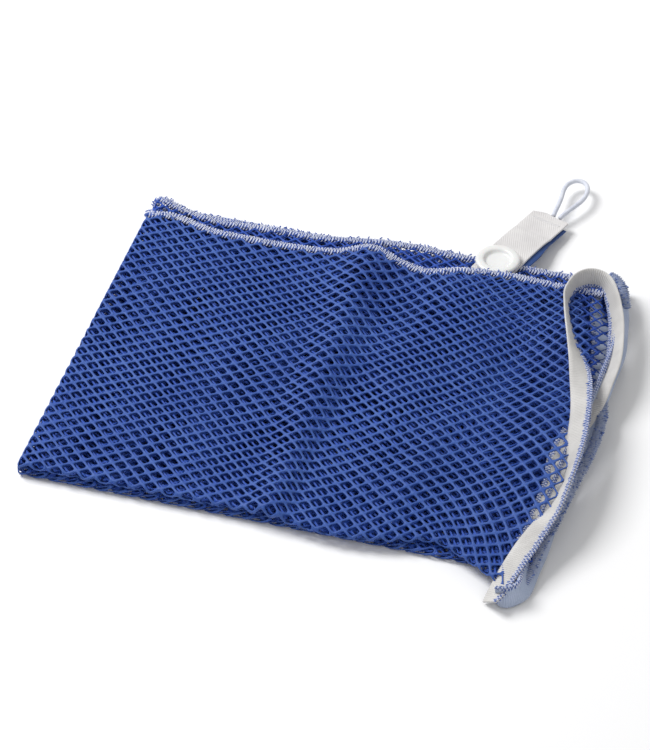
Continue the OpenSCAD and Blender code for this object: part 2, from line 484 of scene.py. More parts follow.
@dataclass(frozen=True)
class RibbedFinish:
    """Woven tape or webbing: fine threads, a slightly creamy tone and light soiling.

    The threads and the soiled patches are so many to the metre.
    """

    name: str
    light: Colour
    deep: Colour
    threads: float = 1500.0
    patches: float = 60.0
    relief: float = 0.1 * MM

    def material(self) -> bpy.types.Material:
        """Makes the woven tape's material.

        Returns:
            The material.
        """
        shader = Shader(self.name, Sheen_Weight=0.2, Sheen_Roughness=0.5, Specular_IOR_Level=0.3)
        weave = shader.noise(self.threads, rough=0.7)
        tone = shader.noise(self.patches)
        colour = shader.mix(shader.between(0.25, 0.8, tone), self.deep, self.light)
        picked = shader.mix(shader.between(0.5, 0.8, weave) * 0.3, colour, self.deep)
        rough = shader.between(0.2, 0.8, weave) * 0.15 + 0.68
        return shader.paint(picked, rough, weave, self.relief)


@dataclass(frozen=True)
class MouldedFinish:
    """Moulded plastic with a soft gloss and a faint unevenness.

    The flow marks and the grain are so many to the metre.
    """

    name: str
    tone: Colour
    shade: Colour
    flow_marks: float = 55.0
    grains: float = 2600.0
    relief: float = 0.05 * MM

    def material(self) -> bpy.types.Material:
        """Makes the plastic's material.

        Returns:
            The material.
        """
        shader = Shader(self.name, Coat_Weight=0.25, Coat_Roughness=0.2, Subsurface_Weight=0.05)
        flow = shader.noise(self.flow_marks, detail=2.0)
        grain = shader.noise(self.grains, detail=2.0)
        colour = shader.mix(shader.between(0.3, 0.7, flow), self.shade, self.tone)
        rough = flow * 0.14 + 0.24
        return shader.paint(colour, rough, grain * 0.3 + flow * 0.7, self.relief)


@dataclass(frozen=True)
class FloorFinish:
    """A plain pale floor."""

    tone: Colour = (0.86, 0.86, 0.865)
    patches: float = 3.0
    relief: float = 0.01 * MM

    def material(self) -> bpy.types.Material:
        """Makes the floor's material.

        Returns:
            The material.
        """
        shader = Shader("pale_floor", Specular_IOR_Level=0.1)
        mottle = shader.noise(self.patches, detail=2.0)
        duller = tuple(0.97 * part for part in self.tone)
        colour = shader.mix(mottle * 0.2, self.tone, duller)
        return shader.paint(colour, mottle * 0.1 + 0.8, mottle, self.relief)


def made_from(finish: YarnFinish | RibbedFinish | MouldedFinish) -> bpy.types.Material:
    """A dataclass field that holds a finish's material."""
    return field(default_factory=finish.material)


@dataclass
class Finishes:
    """Every material of the bag, each made once."""

    netting: bpy.types.Material = made_from(
        YarnFinish("netting_yarn", (0.043, 0.105, 0.36), (0.016, 0.06, 0.28), sheen=0.06)
    )
    # Painted light: a bluer, brighter copy of the netting yarn for every layer below the top one, so
    # the shade in the holes reads dark blue, not black.
    netting_painted_light: bpy.types.Material = made_from(
        YarnFinish("netting_yarn_within", (0.024, 0.08, 0.40), (0.012, 0.058, 0.34), sheen=0.04)
    )
    seam_core: bpy.types.Material = made_from(
        YarnFinish("seam_core_yarn", (0.06, 0.12, 0.42), (0.03, 0.07, 0.30), sheen=0.1)
    )
    # Painted shade: a darker copy of the white overlock thread, for the overlocking at the mouth, which
    # lies in shade.
    edge_thread: bpy.types.Material = made_from(
        YarnFinish("edge_thread", (0.42, 0.46, 0.58), (0.24, 0.29, 0.44), sheen=0.1)
    )
    edge_core: bpy.types.Material = made_from(
        YarnFinish("edge_yarn", (0.12, 0.19, 0.44), (0.07, 0.12, 0.34), sheen=0.1)
    )
    seam_thread: bpy.types.Material = made_from(
        YarnFinish("overlock_thread", (0.70, 0.72, 0.80), (0.46, 0.50, 0.66), roughness=0.65)
    )
    tape: bpy.types.Material = made_from(
        RibbedFinish("mouth_tape_weave", (0.62, 0.61, 0.595), (0.50, 0.49, 0.48))
    )
    # Painted shade: a blue-grey copy of the white tape's weave, for the rear band, which lies in
    # shadow.
    tape_painted_shade: bpy.types.Material = made_from(
        RibbedFinish("mouth_tape_wrong_side", (0.44, 0.50, 0.64), (0.34, 0.40, 0.54))
    )
    stitch: bpy.types.Material = made_from(
        YarnFinish("ladder_thread", (0.11, 0.18, 0.46), (0.06, 0.11, 0.34), sheen=0.1)
    )
    strap: bpy.types.Material = made_from(
        RibbedFinish("strap_weave", (0.67, 0.655, 0.65), (0.57, 0.555, 0.555))
    )
    # Painted shadow: dark blue yarn for a strip under the strap that stands for the shadow the strap
    # casts past its right edge.
    painted_shadow_strip: bpy.types.Material = made_from(
        YarnFinish("strap_facing", (0.03, 0.075, 0.24), (0.02, 0.055, 0.19), sheen=0.05)
    )
    white_thread: bpy.types.Material = made_from(
        YarnFinish("white_thread", (0.76, 0.75, 0.75), (0.66, 0.65, 0.66), sheen=0.15)
    )
    elastic: bpy.types.Material = made_from(
        YarnFinish("elastic_braid", (0.70, 0.72, 0.78), (0.50, 0.53, 0.62), 0.2, filaments=2600.0)
    )
    button: bpy.types.Material = made_from(
        MouldedFinish("button_plastic", (0.76, 0.75, 0.74), (0.70, 0.69, 0.68))
    )


def dress(thing: bpy.types.Object, material: bpy.types.Material) -> bpy.types.Object:
    """Gives a piece its material.

    Args:
        thing: The piece.
        material: The material it shows.

    Returns:
        The piece.
    """
    thing.data.materials.clear()
    thing.data.materials.append(material)
    return thing


# ---------------------------------------------------------------- the bag's shape


@dataclass(frozen=True)
class Crease:
    """A ridge, or a trough where its height is below nought, in the top leaf."""

    start: tuple[float, float]
    end: tuple[float, float]
    spread: float
    height: float
    end_height: float
    lead: float = 0.12
    tail: float = 0.92
    fade: float = 0.2

    def at(self, x: np.ndarray, y: np.ndarray) -> np.ndarray:
        """The crease's rise, all in millimetres.

        Args:
            x: Places along the bag.
            y: Places across the bag.

        Returns:
            The rise at each place.
        """
        run = np.array(self.end) - np.array(self.start)
        length = math.hypot(*run)
        way = run / length
        dx = x - self.start[0]
        dy = y - self.start[1]
        share = (dx * way[0] + dy * way[1]) / length
        across = dx * way[1] - dy * way[0]
        height = self.height + (self.end_height - self.height) * np.clip(share, 0, 1)
        inside = ease((share + self.lead) / self.fade) * (1 - ease((share - self.tail) / self.fade))
        return height * np.exp(-((across / self.spread) ** 2)) * inside


@dataclass(frozen=True)
class Dip:
    """A round hollow, or a swelling where its depth is below nought."""

    centre: tuple[float, float]
    reach: tuple[float, float]
    depth: float

    def at(self, x: np.ndarray, y: np.ndarray) -> np.ndarray:
        """The hollow's rise, all in millimetres.

        Args:
            x: Places along the bag.
            y: Places across the bag.

        Returns:
            The rise at each place.
        """
        along = (x - self.centre[0]) / self.reach[0]
        across = (y - self.centre[1]) / self.reach[1]
        return -self.depth * np.exp(-(along**2 + across**2))


@dataclass(frozen=True)
class Drape:
    """How the top leaf's netting lies: its creases and its hollows, in millimetres."""

    shapes: tuple[Crease | Dip, ...] = (
        Crease((-3, -138), (-8, 118), 13.0, 4.6, 6.4),
        Crease((17, -135), (18, -5), 13.0, -4.2, -4.4),
        Crease((-22, -128), (-26, 40), 7.0, -1.2, -0.6),
        Crease((62, -120), (84, 40), 10.0, 1.4, 1.0),
        Crease((120, -120), (100, -20), 9.0, 1.4, 0.4),
        Dip((20, 70), (20, 34), 5.0),
        Dip((16, 18), (12, 30), 2.2),
        Dip((70, -2), (12, 24), 1.8),
        Dip((118, 22), (26, 22), 4.5),
        Dip((120, -140), (16, 20), 2.5),
        Dip((-118, -92), (30, 24), 0.7),
        Dip((-60, -100), (18, 24), 0.5),
        Dip((60, -80), (34, 26), -1.6),
        Dip((-80, 30), (46, 50), -1.0),
        Dip((48, 96), (22, 18), -1.2),
    )

    ripple: float = 0.35

    def at(self, x: np.ndarray, y: np.ndarray) -> np.ndarray:
        """The rise of all the shapes and of a slight ripple, in metres.

        Args:
            x: Places along the bag, in metres.
            y: Places across the bag, in metres.

        Returns:
            The rise at each place.
        """
        x_mm = x / MM
        y_mm = y / MM
        total = sum(shape.at(x_mm, y_mm) for shape in self.shapes)
        ripple = np.sin(x_mm / 17 + 1.3 * np.sin(y_mm / 29)) * np.sin(y_mm / 21 + x_mm / 47)
        return (total + self.ripple * ripple) * MM


@dataclass
class FoldedBag:
    """The folded bag's shape: where a point of the flat cloth lies.

    The bumps are in millimetres: each one's place along the bag, reach and rise.
    """

    drape: Drape = field(default_factory=Drape)
    net_t: float = 0.9 * MM
    top_swell: float = 7.0 * MM
    second_swell: float = 1.0 * MM
    mouth_gape: float = 8.0 * MM
    corner_flare: float = 32.2 * MM
    corner_run: float = 60 * MM
    corner_cut: float = 15 * MM
    mouth_run: float = 150 * MM
    mouth_drift: float = 9 * MM
    outer_sweep: float = 32 * MM
    inner_sweep: float = 16 * MM
    second_sweep: float = 6 * MM
    seam_in: float = 2.6 * MM
    tuck: float = 0.25
    near_bumps: tuple[Point, ...] = ((36, 34, 5.5), (90, 18, -5.0))
    rear_bumps: tuple[Point, ...] = ((-154, 16, 6.0), (-102, 36, -6.5), (-48, 26, -4.0), (12, 22, 2.5))
    front_bumps: tuple[Point, ...] = ((-141, 22, 9.0), (-12, 16, 3.0), (33, 18, -6.0), (86, 20, 2.0))

    def __post_init__(self) -> None:
        """Takes the folds, the edges and the layers' levels from the frame."""
        unfold = next(j for j in frame["record"]["behaviour"]["joints"] if j["name"] == "unfold")
        self.fold_x = unfold["pos_m"][0]
        self.hinge_z = unfold["pos_m"][2]
        self.near_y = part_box("bottom_leaf_outer_net")[0].y
        self.rear_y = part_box("second_leaf_seam")[1].y
        self.front_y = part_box("top_leaf_seam")[1].y
        self.mouth_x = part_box("second_leaf_outer_net")[1].x
        self.lower_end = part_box("bottom_leaf_outer_net")[1].x
        low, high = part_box("bottom_leaf_outer_net")
        half_t = (high.z - low.z) / 2
        self.level = {
            (panel, leaf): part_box(f"{leaf.value}_leaf_{panel.value}_net")[0].z + half_t
            for panel in Panel
            for leaf in Leaf
        }
        self.length = self.mouth_x - self.fold_x
        self.lower_length = self.lower_end - self.fold_x

    def bend_round_fold(self, piece: bpy.types.Object, radius: float) -> None:
        """Bakes a piece of the crosswise fold in place; it is not bent between the two halves.

        Args:
            piece: The piece.
            radius: The fold's radius at that piece. The points worked out from it are not used.
        """
        low = (self.fold_x, 0.0, self.hinge_z - radius)
        high = (self.fold_x, 0.0, self.hinge_z + radius)
        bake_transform(piece)

    def middle(self, panel: Panel) -> float:
        """Height of the lengthwise fold's centre above the hinge."""
        total = self.level[panel, Leaf.TOP] + self.level[panel, Leaf.SECOND]
        return total / 2 - self.hinge_z

    def seam_radius(self, leaf: Leaf) -> float:
        """Radius of the crosswise fold at a leaf's side seam."""
        return sum(self.level[panel, leaf] for panel in Panel) / 2 - self.hinge_z

    def turn(self, panel: Panel) -> float:
        """Radius of the lengthwise fold."""
        return (self.level[panel, Leaf.TOP] - self.level[panel, Leaf.SECOND]) / 2

    def swell(self, x: np.ndarray, y: np.ndarray) -> np.ndarray:
        """How far the swelling has grown, from 0 to 1."""
        return ease((x + 70 * MM) / (120 * MM)) * ease((y + 100 * MM) / (170 * MM))

    def near_edge(self, x: np.ndarray) -> np.ndarray:
        """The lengthwise fold's edge, which flares at the mouth's corner.

        Args:
            x: Places along the bag.

        Returns:
            The edge's places across the bag.
        """
        share = np.clip((x - self.mouth_x + self.corner_run) / self.corner_run, 0, 1.1)
        return self.near_y - self.corner_flare * share**1.6 - bumps_at(x, self.near_bumps) * MM

    def mouth_edge(self, v: np.ndarray, sweep: np.ndarray | float) -> np.ndarray:
        """The netting's edge at the mouth.

        Args:
            v: Shares of the way across the leaf.
            sweep: How far the edge runs back at its far end.

        Returns:
            The edge's places along the bag.
        """
        back = sweep * np.clip((v - 0.3) / 0.7, 0, 1) ** 2
        corner = self.corner_cut * np.clip((0.19 - v) / 0.19, 0, 1) ** 2
        return self.mouth_x - back - corner

    def gape(self, x: np.ndarray, v: np.ndarray) -> np.ndarray:
        """How far the mouth stands open.

        Args:
            x: Places along the bag.
            v: Shares of the way across the leaf.

        Returns:
            The rise at each place.
        """
        grown = ease((x - self.mouth_x + self.corner_run) / (0.75 * self.corner_run))
        near = ease((v - 0.04) / 0.2)
        far = ease((v - 0.86) / 0.16)
        return self.mouth_gape * grown * near * (1 - far)

    def sweep(self, panel: Panel, leaf: Leaf) -> float:
        """How far the mouth's edge runs back at its far end.

        Args:
            panel: The layer's panel.
            leaf: The layer's leaf.

        Returns:
            The length.
        """
        if leaf is Leaf.SECOND:
            return self.second_sweep
        return self.outer_sweep if panel is Panel.OUTER else self.inner_sweep

    def seam_y(self, leaf: Leaf, x: np.ndarray) -> np.ndarray:
        """A side seam's outer edge.

        Args:
            leaf: The seam's leaf.
            x: Places along the bag.

        Returns:
            The edge's places across the bag.
        """
        if leaf is Leaf.SECOND:
            return self.rear_y + bumps_at(x, self.rear_bumps) * MM
        return self.front_y + bumps_at(x, self.front_bumps) * MM

    def far_edge(self, leaf: Leaf, x: np.ndarray | float) -> np.ndarray:
        """Where a leaf's netting ends inside its seam, for places along the bag."""
        return self.seam_y(leaf, x) - self.seam_in

    def relief(self, x: np.ndarray, y: np.ndarray) -> np.ndarray:
        """The drape's rise, kept clear of the leaf below and of the crosswise fold.

        Args:
            x: Places along the bag.
            y: Places across the bag.

        Returns:
            The rise at each place.
        """
        room = self.top_swell * self.swell(x, y) * 0.8 + 0.2 * MM
        rise = self.drape.at(x, y) * ease((x - self.fold_x) / (30 * MM))
        return np.where(rise < 0, -room * np.tanh(-rise / np.maximum(room, 1e-6)), rise)

    def height(
        self, panel: Panel, leaf: Leaf, x: np.ndarray, y: np.ndarray, v: np.ndarray
    ) -> np.ndarray:
        """Height of a layer's middle in the upper half.

        Args:
            panel: The layer's panel.
            leaf: The layer's leaf.
            x: Places along the bag.
            y: Places across the bag.
            v: Shares of the way across the leaf.

        Returns:
            The heights.
        """
        rise = self.relief(x, y)
        if leaf is Leaf.TOP:
            z = self.level[panel, leaf] + self.top_swell * self.swell(x, y) + rise
            if panel is Panel.OUTER:
                return z + self.gape(x, v)
            return z - 0.1 * np.abs(rise)
        step = 1.0 if panel is Panel.INNER else 0.8
        lifted = self.second_swell * self.swell(x, y) + 0.25 * step * np.maximum(rise, 0)
        return self.level[panel, leaf] + lifted

    def upper(self, panel: Panel, along: np.ndarray, girth: np.ndarray) -> np.ndarray:
        """Places of cloth in the upper half, in front of the crosswise fold.

        Args:
            panel: The cloth's panel.
            along: Lengths from the crosswise fold.
            girth: Lengths from the lengthwise fold.

        Returns:
            One row for each point.
        """
        turn = self.turn(panel)
        arc = math.pi * turn
        on_top = girth >= 0
        on_second = girth <= -arc
        across = np.where(on_top, girth, np.where(on_second, -girth - arc, 0.0))
        far_edges = [self.far_edge(leaf, self.fold_x + along) for leaf in (Leaf.SECOND, Leaf.TOP)]
        far = np.where(on_second, *far_edges)
        v = np.clip(across / (far - self.near_y), 0, 1)
        grow = np.clip((along - self.length + self.mouth_run) / self.mouth_run, 0, 1) ** 2
        sweep = np.where(on_second, self.sweep(panel, Leaf.SECOND), self.sweep(panel, Leaf.TOP))
        edge = self.mouth_edge(v, sweep)
        x = self.fold_x + along - grow * (self.mouth_x - edge)
        x = np.minimum(x, edge)
        drift = self.mouth_drift * grow * 4 * v * (1 - v)
        fade = np.clip(1 - v / 0.6, 0, 1) ** 2
        y = self.near_y + across + drift + fade * (self.near_edge(x) - self.near_y)
        y = np.minimum(y, far)
        top = self.height(panel, Leaf.TOP, x, y, v)
        second = self.height(panel, Leaf.SECOND, x, y, v)
        angle = np.clip(-girth / turn, 0, math.pi)
        z = np.where(on_top, top, second)
        bend = ~on_top & ~on_second
        round_z = (top + second) / 2 + (top - second) / 2 * np.cos(angle)
        z = np.where(bend, round_z, z)
        y = np.where(bend, y - turn * np.sin(angle), y)
        return np.stack([x, y, z], axis=-1)

    def behind(self, panel: Panel, along: np.ndarray, girth: np.ndarray) -> np.ndarray:
        """Places of cloth round the crosswise fold and in the lower half.

        Args:
            panel: The cloth's panel.
            along: Lengths from the crosswise fold, below nought.
            girth: Lengths from the lengthwise fold.

        Returns:
            One row for each point.
        """
        turn = self.turn(panel)
        arc = math.pi * turn
        angle = np.clip(-girth / turn, 0, math.pi)
        radius = self.middle(panel) + turn * np.cos(angle)
        across = np.where(girth >= 0, girth, np.where(girth <= -arc, -girth - arc, 0.0))
        y = self.near_y + across - turn * np.sin(angle)
        bend = np.clip(-along / radius, 0, math.pi)
        past = np.maximum(-along - math.pi * radius, 0)
        step = ease(bend / math.pi)
        far_edges = [self.far_edge(leaf, self.fold_x) for leaf in (Leaf.TOP, Leaf.SECOND)]
        first = np.where(girth >= 0, *far_edges)
        y = np.minimum(y, first + (self.rear_y - self.seam_in - first) * step)
        x = np.minimum(self.fold_x - self.tuck * radius * np.sin(bend) + past, self.lower_end)
        return np.stack([x, y, self.hinge_z + radius * np.cos(bend)], axis=-1)

    def place(self, panel: Panel, along: np.ndarray, girth: np.ndarray) -> np.ndarray:
        """Places of points of the flat cloth.

        Args:
            panel: The cloth's panel.
            along: Lengths from the crosswise fold.
            girth: Lengths from the lengthwise fold.

        Returns:
            One row for each point.
        """
        front = self.upper(panel, np.maximum(along, 0), girth)
        back = self.behind(panel, np.minimum(along, 0), girth)
        return np.where((along >= 0)[..., None], front, back)

    def outward(self, panel: Panel, along: np.ndarray, girth: np.ndarray) -> np.ndarray:
        """Directions out of the cloth's face.

        Args:
            panel: The cloth's panel.
            along: Lengths from the crosswise fold.
            girth: Lengths from the lengthwise fold.

        Returns:
            One unit direction for each point, straight up where the cloth has no face.
        """
        step = 0.35 * MM
        tiny = 1e-12
        length = self.place(panel, along + step, girth) - self.place(panel, along - step, girth)
        width = self.place(panel, along, girth + step) - self.place(panel, along, girth - step)
        normal = np.cross(length, width)
        size = np.linalg.norm(normal, axis=-1, keepdims=True)
        return np.where(size > tiny, normal / np.maximum(size, tiny), np.array([0.0, 0.0, 1.0]))


# ---------------------------------------------------------------- the netting


class Part(str, Enum):
    """The parts that a layer of netting is made in."""

    UPPER = "upper"
    WRAP = "wrap"
    LOWER = "lower"


@dataclass
class Netting:
    """Knitted netting with a diamond mesh, every strand in relief.

    The skew and the lean are slopes of the mesh's rows and columns on the cloth. The
    draw is how much closer the mesh is at the mouth. The yarn's share is of the area
    of the cloth.
    """

    bag: FoldedBag
    finishes: Finishes
    half_long: float = 5.65 * MM
    half_wide: float = 4.65 * MM
    skew: float = 0.13
    lean: float = 0.03
    strand_w: float = 1.65 * MM
    lap: float = 12.5 * MM
    draw: float = 0.06
    draw_run: float = 90 * MM
    side_gap: float = 1 * MM
    end_gap: float = 1.5 * MM
    yarn_share: float = 0.48
    inner_shift: tuple[float, float] = (1.85 * MM, 2.5 * MM)

    def _corners(self) -> np.ndarray:
        """One mesh cell's outline on the flat cloth.

        Returns:
            Twelve points, three to a side.
        """
        right = np.array([self.half_long, 0])
        top = np.array([0, self.half_wide])
        ends = np.array([right, top, -right, -top])
        shares = np.arange(3)[:, None] / 3
        return np.vstack([a + (b - a) * shares for a, b in zip(ends, np.roll(ends, -1, axis=0))])

    def _hole(self) -> np.ndarray:
        """The rounded hole's outline inside one cell, point for point with the cell's.

        Returns:
            Twelve points.
        """
        outline = self._corners()
        side = unit(np.array([self.half_wide, self.half_long]))
        hole = outline - np.sign(outline) * side * self.strand_w / 2
        hole[::3] = outline[::3] * np.array([0.6, 0.67])
        return hole

    def cells(self, panel: Panel, part: Part, leaf: Leaf) -> np.ndarray:
        """The whole numbers of the mesh cells in one piece of a layer.

        Args:
            panel: The layer's panel.
            part: The part of the layer.
            leaf: The leaf as it lies in the upper half.

        Returns:
            Rows of two whole numbers, in half cells along and across.
        """
        bag = self.bag
        back = int((bag.lower_length + 30 * MM) / self.half_long) + 6
        rows = (np.arange(-back, 64), np.arange(-76, 72))
        i, j = (numbers.ravel() for numbers in np.meshgrid(*rows, indexing="ij"))
        whole = (i + j) % 2 == 0
        along, girth = self._askew(i * self.half_long, j * self.half_wide)
        turn = bag.turn(panel)
        arc = math.pi * turn
        radius = bag.middle(panel) + turn * np.cos(np.clip(-girth / turn, 0, math.pi))
        wrap = math.pi * radius
        width = girth if leaf is Leaf.TOP else -girth - arc
        own_side = (girth > -arc) == (leaf is Leaf.TOP)
        upper_far = bag.far_edge(leaf, bag.fold_x + np.maximum(along, 0))
        lower_far = bag.rear_y - bag.seam_in
        if part is Part.UPPER:
            run = (along > self.lap) & (self._drawn(along) < bag.length - self.end_gap)
            far = upper_far
        elif part is Part.WRAP:
            run = (along <= self.lap) & (along > -wrap - self.lap)
            far = upper_far + (lower_far - upper_far) * ease(-along / wrap)
        else:
            last = -wrap - bag.lower_length + self.end_gap
            run = (along <= -wrap - self.lap) & (along > last)
            far = lower_far
        keep = whole & run & own_side & (width < far - bag.near_y - self.side_gap)
        return np.stack([i[keep], j[keep]], axis=-1)

    def _askew(self, along: np.ndarray, girth: np.ndarray) -> tuple[np.ndarray, np.ndarray]:
        """Turns the mesh on the cloth: its rows run askew, and come straight towards the mouth.

        Args:
            along: Lengths along the mesh.
            girth: Lengths across the mesh.

        Returns:
            Lengths along and round the cloth.
        """
        ahead = np.maximum(along, 0)
        slant = self.skew * (along - ahead**2 / (2 * self.bag.length))
        return along + self.lean * girth, girth - slant

    def _drawn(self, along: np.ndarray) -> np.ndarray:
        """Lengths along the cloth, with the mesh drawn closer towards the mouth."""
        past = np.maximum(along - self.bag.length + self.draw_run, 0)
        return along - self.draw * past**2 / (2 * self.draw_run)

    def _wander(
        self, panel: Panel, along: np.ndarray, girth: np.ndarray
    ) -> tuple[np.ndarray, np.ndarray]:
        """Moves the mesh's points a little, as it is never quite even.

        Args:
            panel: The netting's panel.
            along: Lengths along the mesh.
            girth: Lengths across the mesh.

        Returns:
            Lengths along and round the cloth.
        """
        outer = panel is Panel.OUTER
        phase = 0.0 if outer else 2.1
        shift = (0.0, 0.0) if outer else self.inner_shift
        along, girth = self._askew(along, girth)
        moved = 0.7 * MM * np.sin(girth / (19 * MM) + along / (41 * MM) + phase)
        slid = 0.5 * MM * np.sin(along / (23 * MM) - girth / (37 * MM) + phase)
        return self._drawn(along + moved + shift[0]), girth + slid + shift[1]

    def build_piece(self, name: str, panel: Panel, cells: np.ndarray, fine: bool) -> bpy.types.Object:
        """The strands round the holes of some cells, as one closed mesh.

        Args:
            name: The piece's name.
            panel: The netting's panel.
            cells: Whole numbers of the cells.
            fine: Whether the strands are rounded with an extra row of points.

        Returns:
            The mesh object.
        """
        outline = self._corners()
        hole = self._hole()
        half = self.bag.net_t / 2
        tips = np.zeros(12)
        tips[::3] = 1
        crown = half * (1 + 0.35 * tips)
        rows = [(outline, crown), (hole, np.zeros(12)), (outline, -crown)]
        if fine:
            shoulder = outline + (hole - outline) * 0.55
            rows = [rows[0], (shoulder, 0.8 * half), rows[1], (shoulder, -0.8 * half), rows[2]]
        centre = cells * np.array([self.half_long, self.half_wide])
        flat = np.stack([centre[:, None] + row[None] for row, _ in rows], axis=1)
        lift = np.stack([np.broadcast_to(h, (len(cells), 12)) for _, h in rows], axis=1)
        keys = np.round(flat.reshape(-1, 2) / (1e-3 * MM)).astype(np.int64)
        layer = np.tile(np.repeat(np.arange(len(rows)), 12), len(cells))
        packed = np.column_stack([keys, layer])
        _, first, inverse = np.unique(packed, axis=0, return_index=True, return_inverse=True)
        inverse = np.asarray(inverse).ravel()
        along, girth = self._wander(panel, *flat.reshape(-1, 2)[first].T)
        points = self.bag.place(panel, along, girth)
        points += self.bag.outward(panel, along, girth) * lift.reshape(-1)[first][:, None]
        index = inverse.reshape(len(cells), len(rows), 12)
        following = np.roll(index, -1, axis=2)
        walls = [
            np.stack([index[:, r], following[:, r], following[:, r + 1], index[:, r + 1]], axis=-1)
            for r in range(len(rows) - 1)
        ]
        faces = np.concatenate([wall.reshape(-1, 4) for wall in walls])
        faces = np.vstack([faces, self._rim(cells, index)])
        return add_mesh(name, points, faces)

    @staticmethod
    def _rim(cells: np.ndarray, index: np.ndarray) -> np.ndarray:
        """Faces that close the netting where a cell has no neighbour.

        Args:
            cells: Whole numbers of the cells.
            index: Numbers of the points, for each cell, row and place round the cell.

        Returns:
            The faces.
        """
        known = {tuple(cell) for cell in cells.tolist()}
        faces = []
        for side, (di, dj) in enumerate(((1, 1), (-1, 1), (-1, -1), (1, -1))):
            alone = np.array([(i + di, j + dj) not in known for i, j in cells.tolist()], bool)
            top = index[alone, 0]
            bottom = index[alone, -1]
            for a in range(side * 3, side * 3 + 3):
                b = (a + 1) % 12
                faces.append(np.stack([top[:, b], top[:, a], bottom[:, a], bottom[:, b]], axis=-1))
        return np.vstack(faces)

    def build(self) -> None:
        """Builds every layer: in the upper half, round the fold and in the lower half."""
        for panel in Panel:
            for leaf in Leaf:
                for part in Part:
                    stem = LOWER_NAMES[leaf] if part is Part.LOWER else leaf.value
                    end = "fold" if part is Part.WRAP else "mesh"
                    name = f"{stem}_leaf_{panel.value}_{end}"
                    fine = leaf is Leaf.TOP and panel is Panel.OUTER
                    cells = self.cells(panel, part, leaf)
                    piece = self.build_piece(name, panel, cells, fine)
                    # The layers below the top leaf's outer panel take the netting copy with painted
                    # light.
                    shade = self.finishes.netting if fine else self.finishes.netting_painted_light
                    dress(piece, shade)
                    self._attach(piece, panel, leaf, part, f"{stem}_leaf_{panel.value}_net")
                    log.info("%s: %d mesh cells", name, len(cells))

    def _attach(
        self, piece: bpy.types.Object, panel: Panel, leaf: Leaf, part: Part, node: str
    ) -> None:
        """Puts a piece of netting on its body; a piece that goes round the fold is only baked in place,
        not bent.

        Args:
            piece: The piece of netting.
            panel: Its panel.
            leaf: Its leaf as it lies in the upper half.
            part: Its part of the layer.
            node: The solid it stands for, unless it goes round the fold.
        """
        if part is Part.WRAP:
            self.bag.bend_round_fold(piece, self.bag.level[panel, leaf] - self.bag.hinge_z)
            return
        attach(piece, Body.UPPER.value if part is Part.UPPER else Body.LOWER.value)
        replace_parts(piece, node)


# ---------------------------------------------------------------- side seams


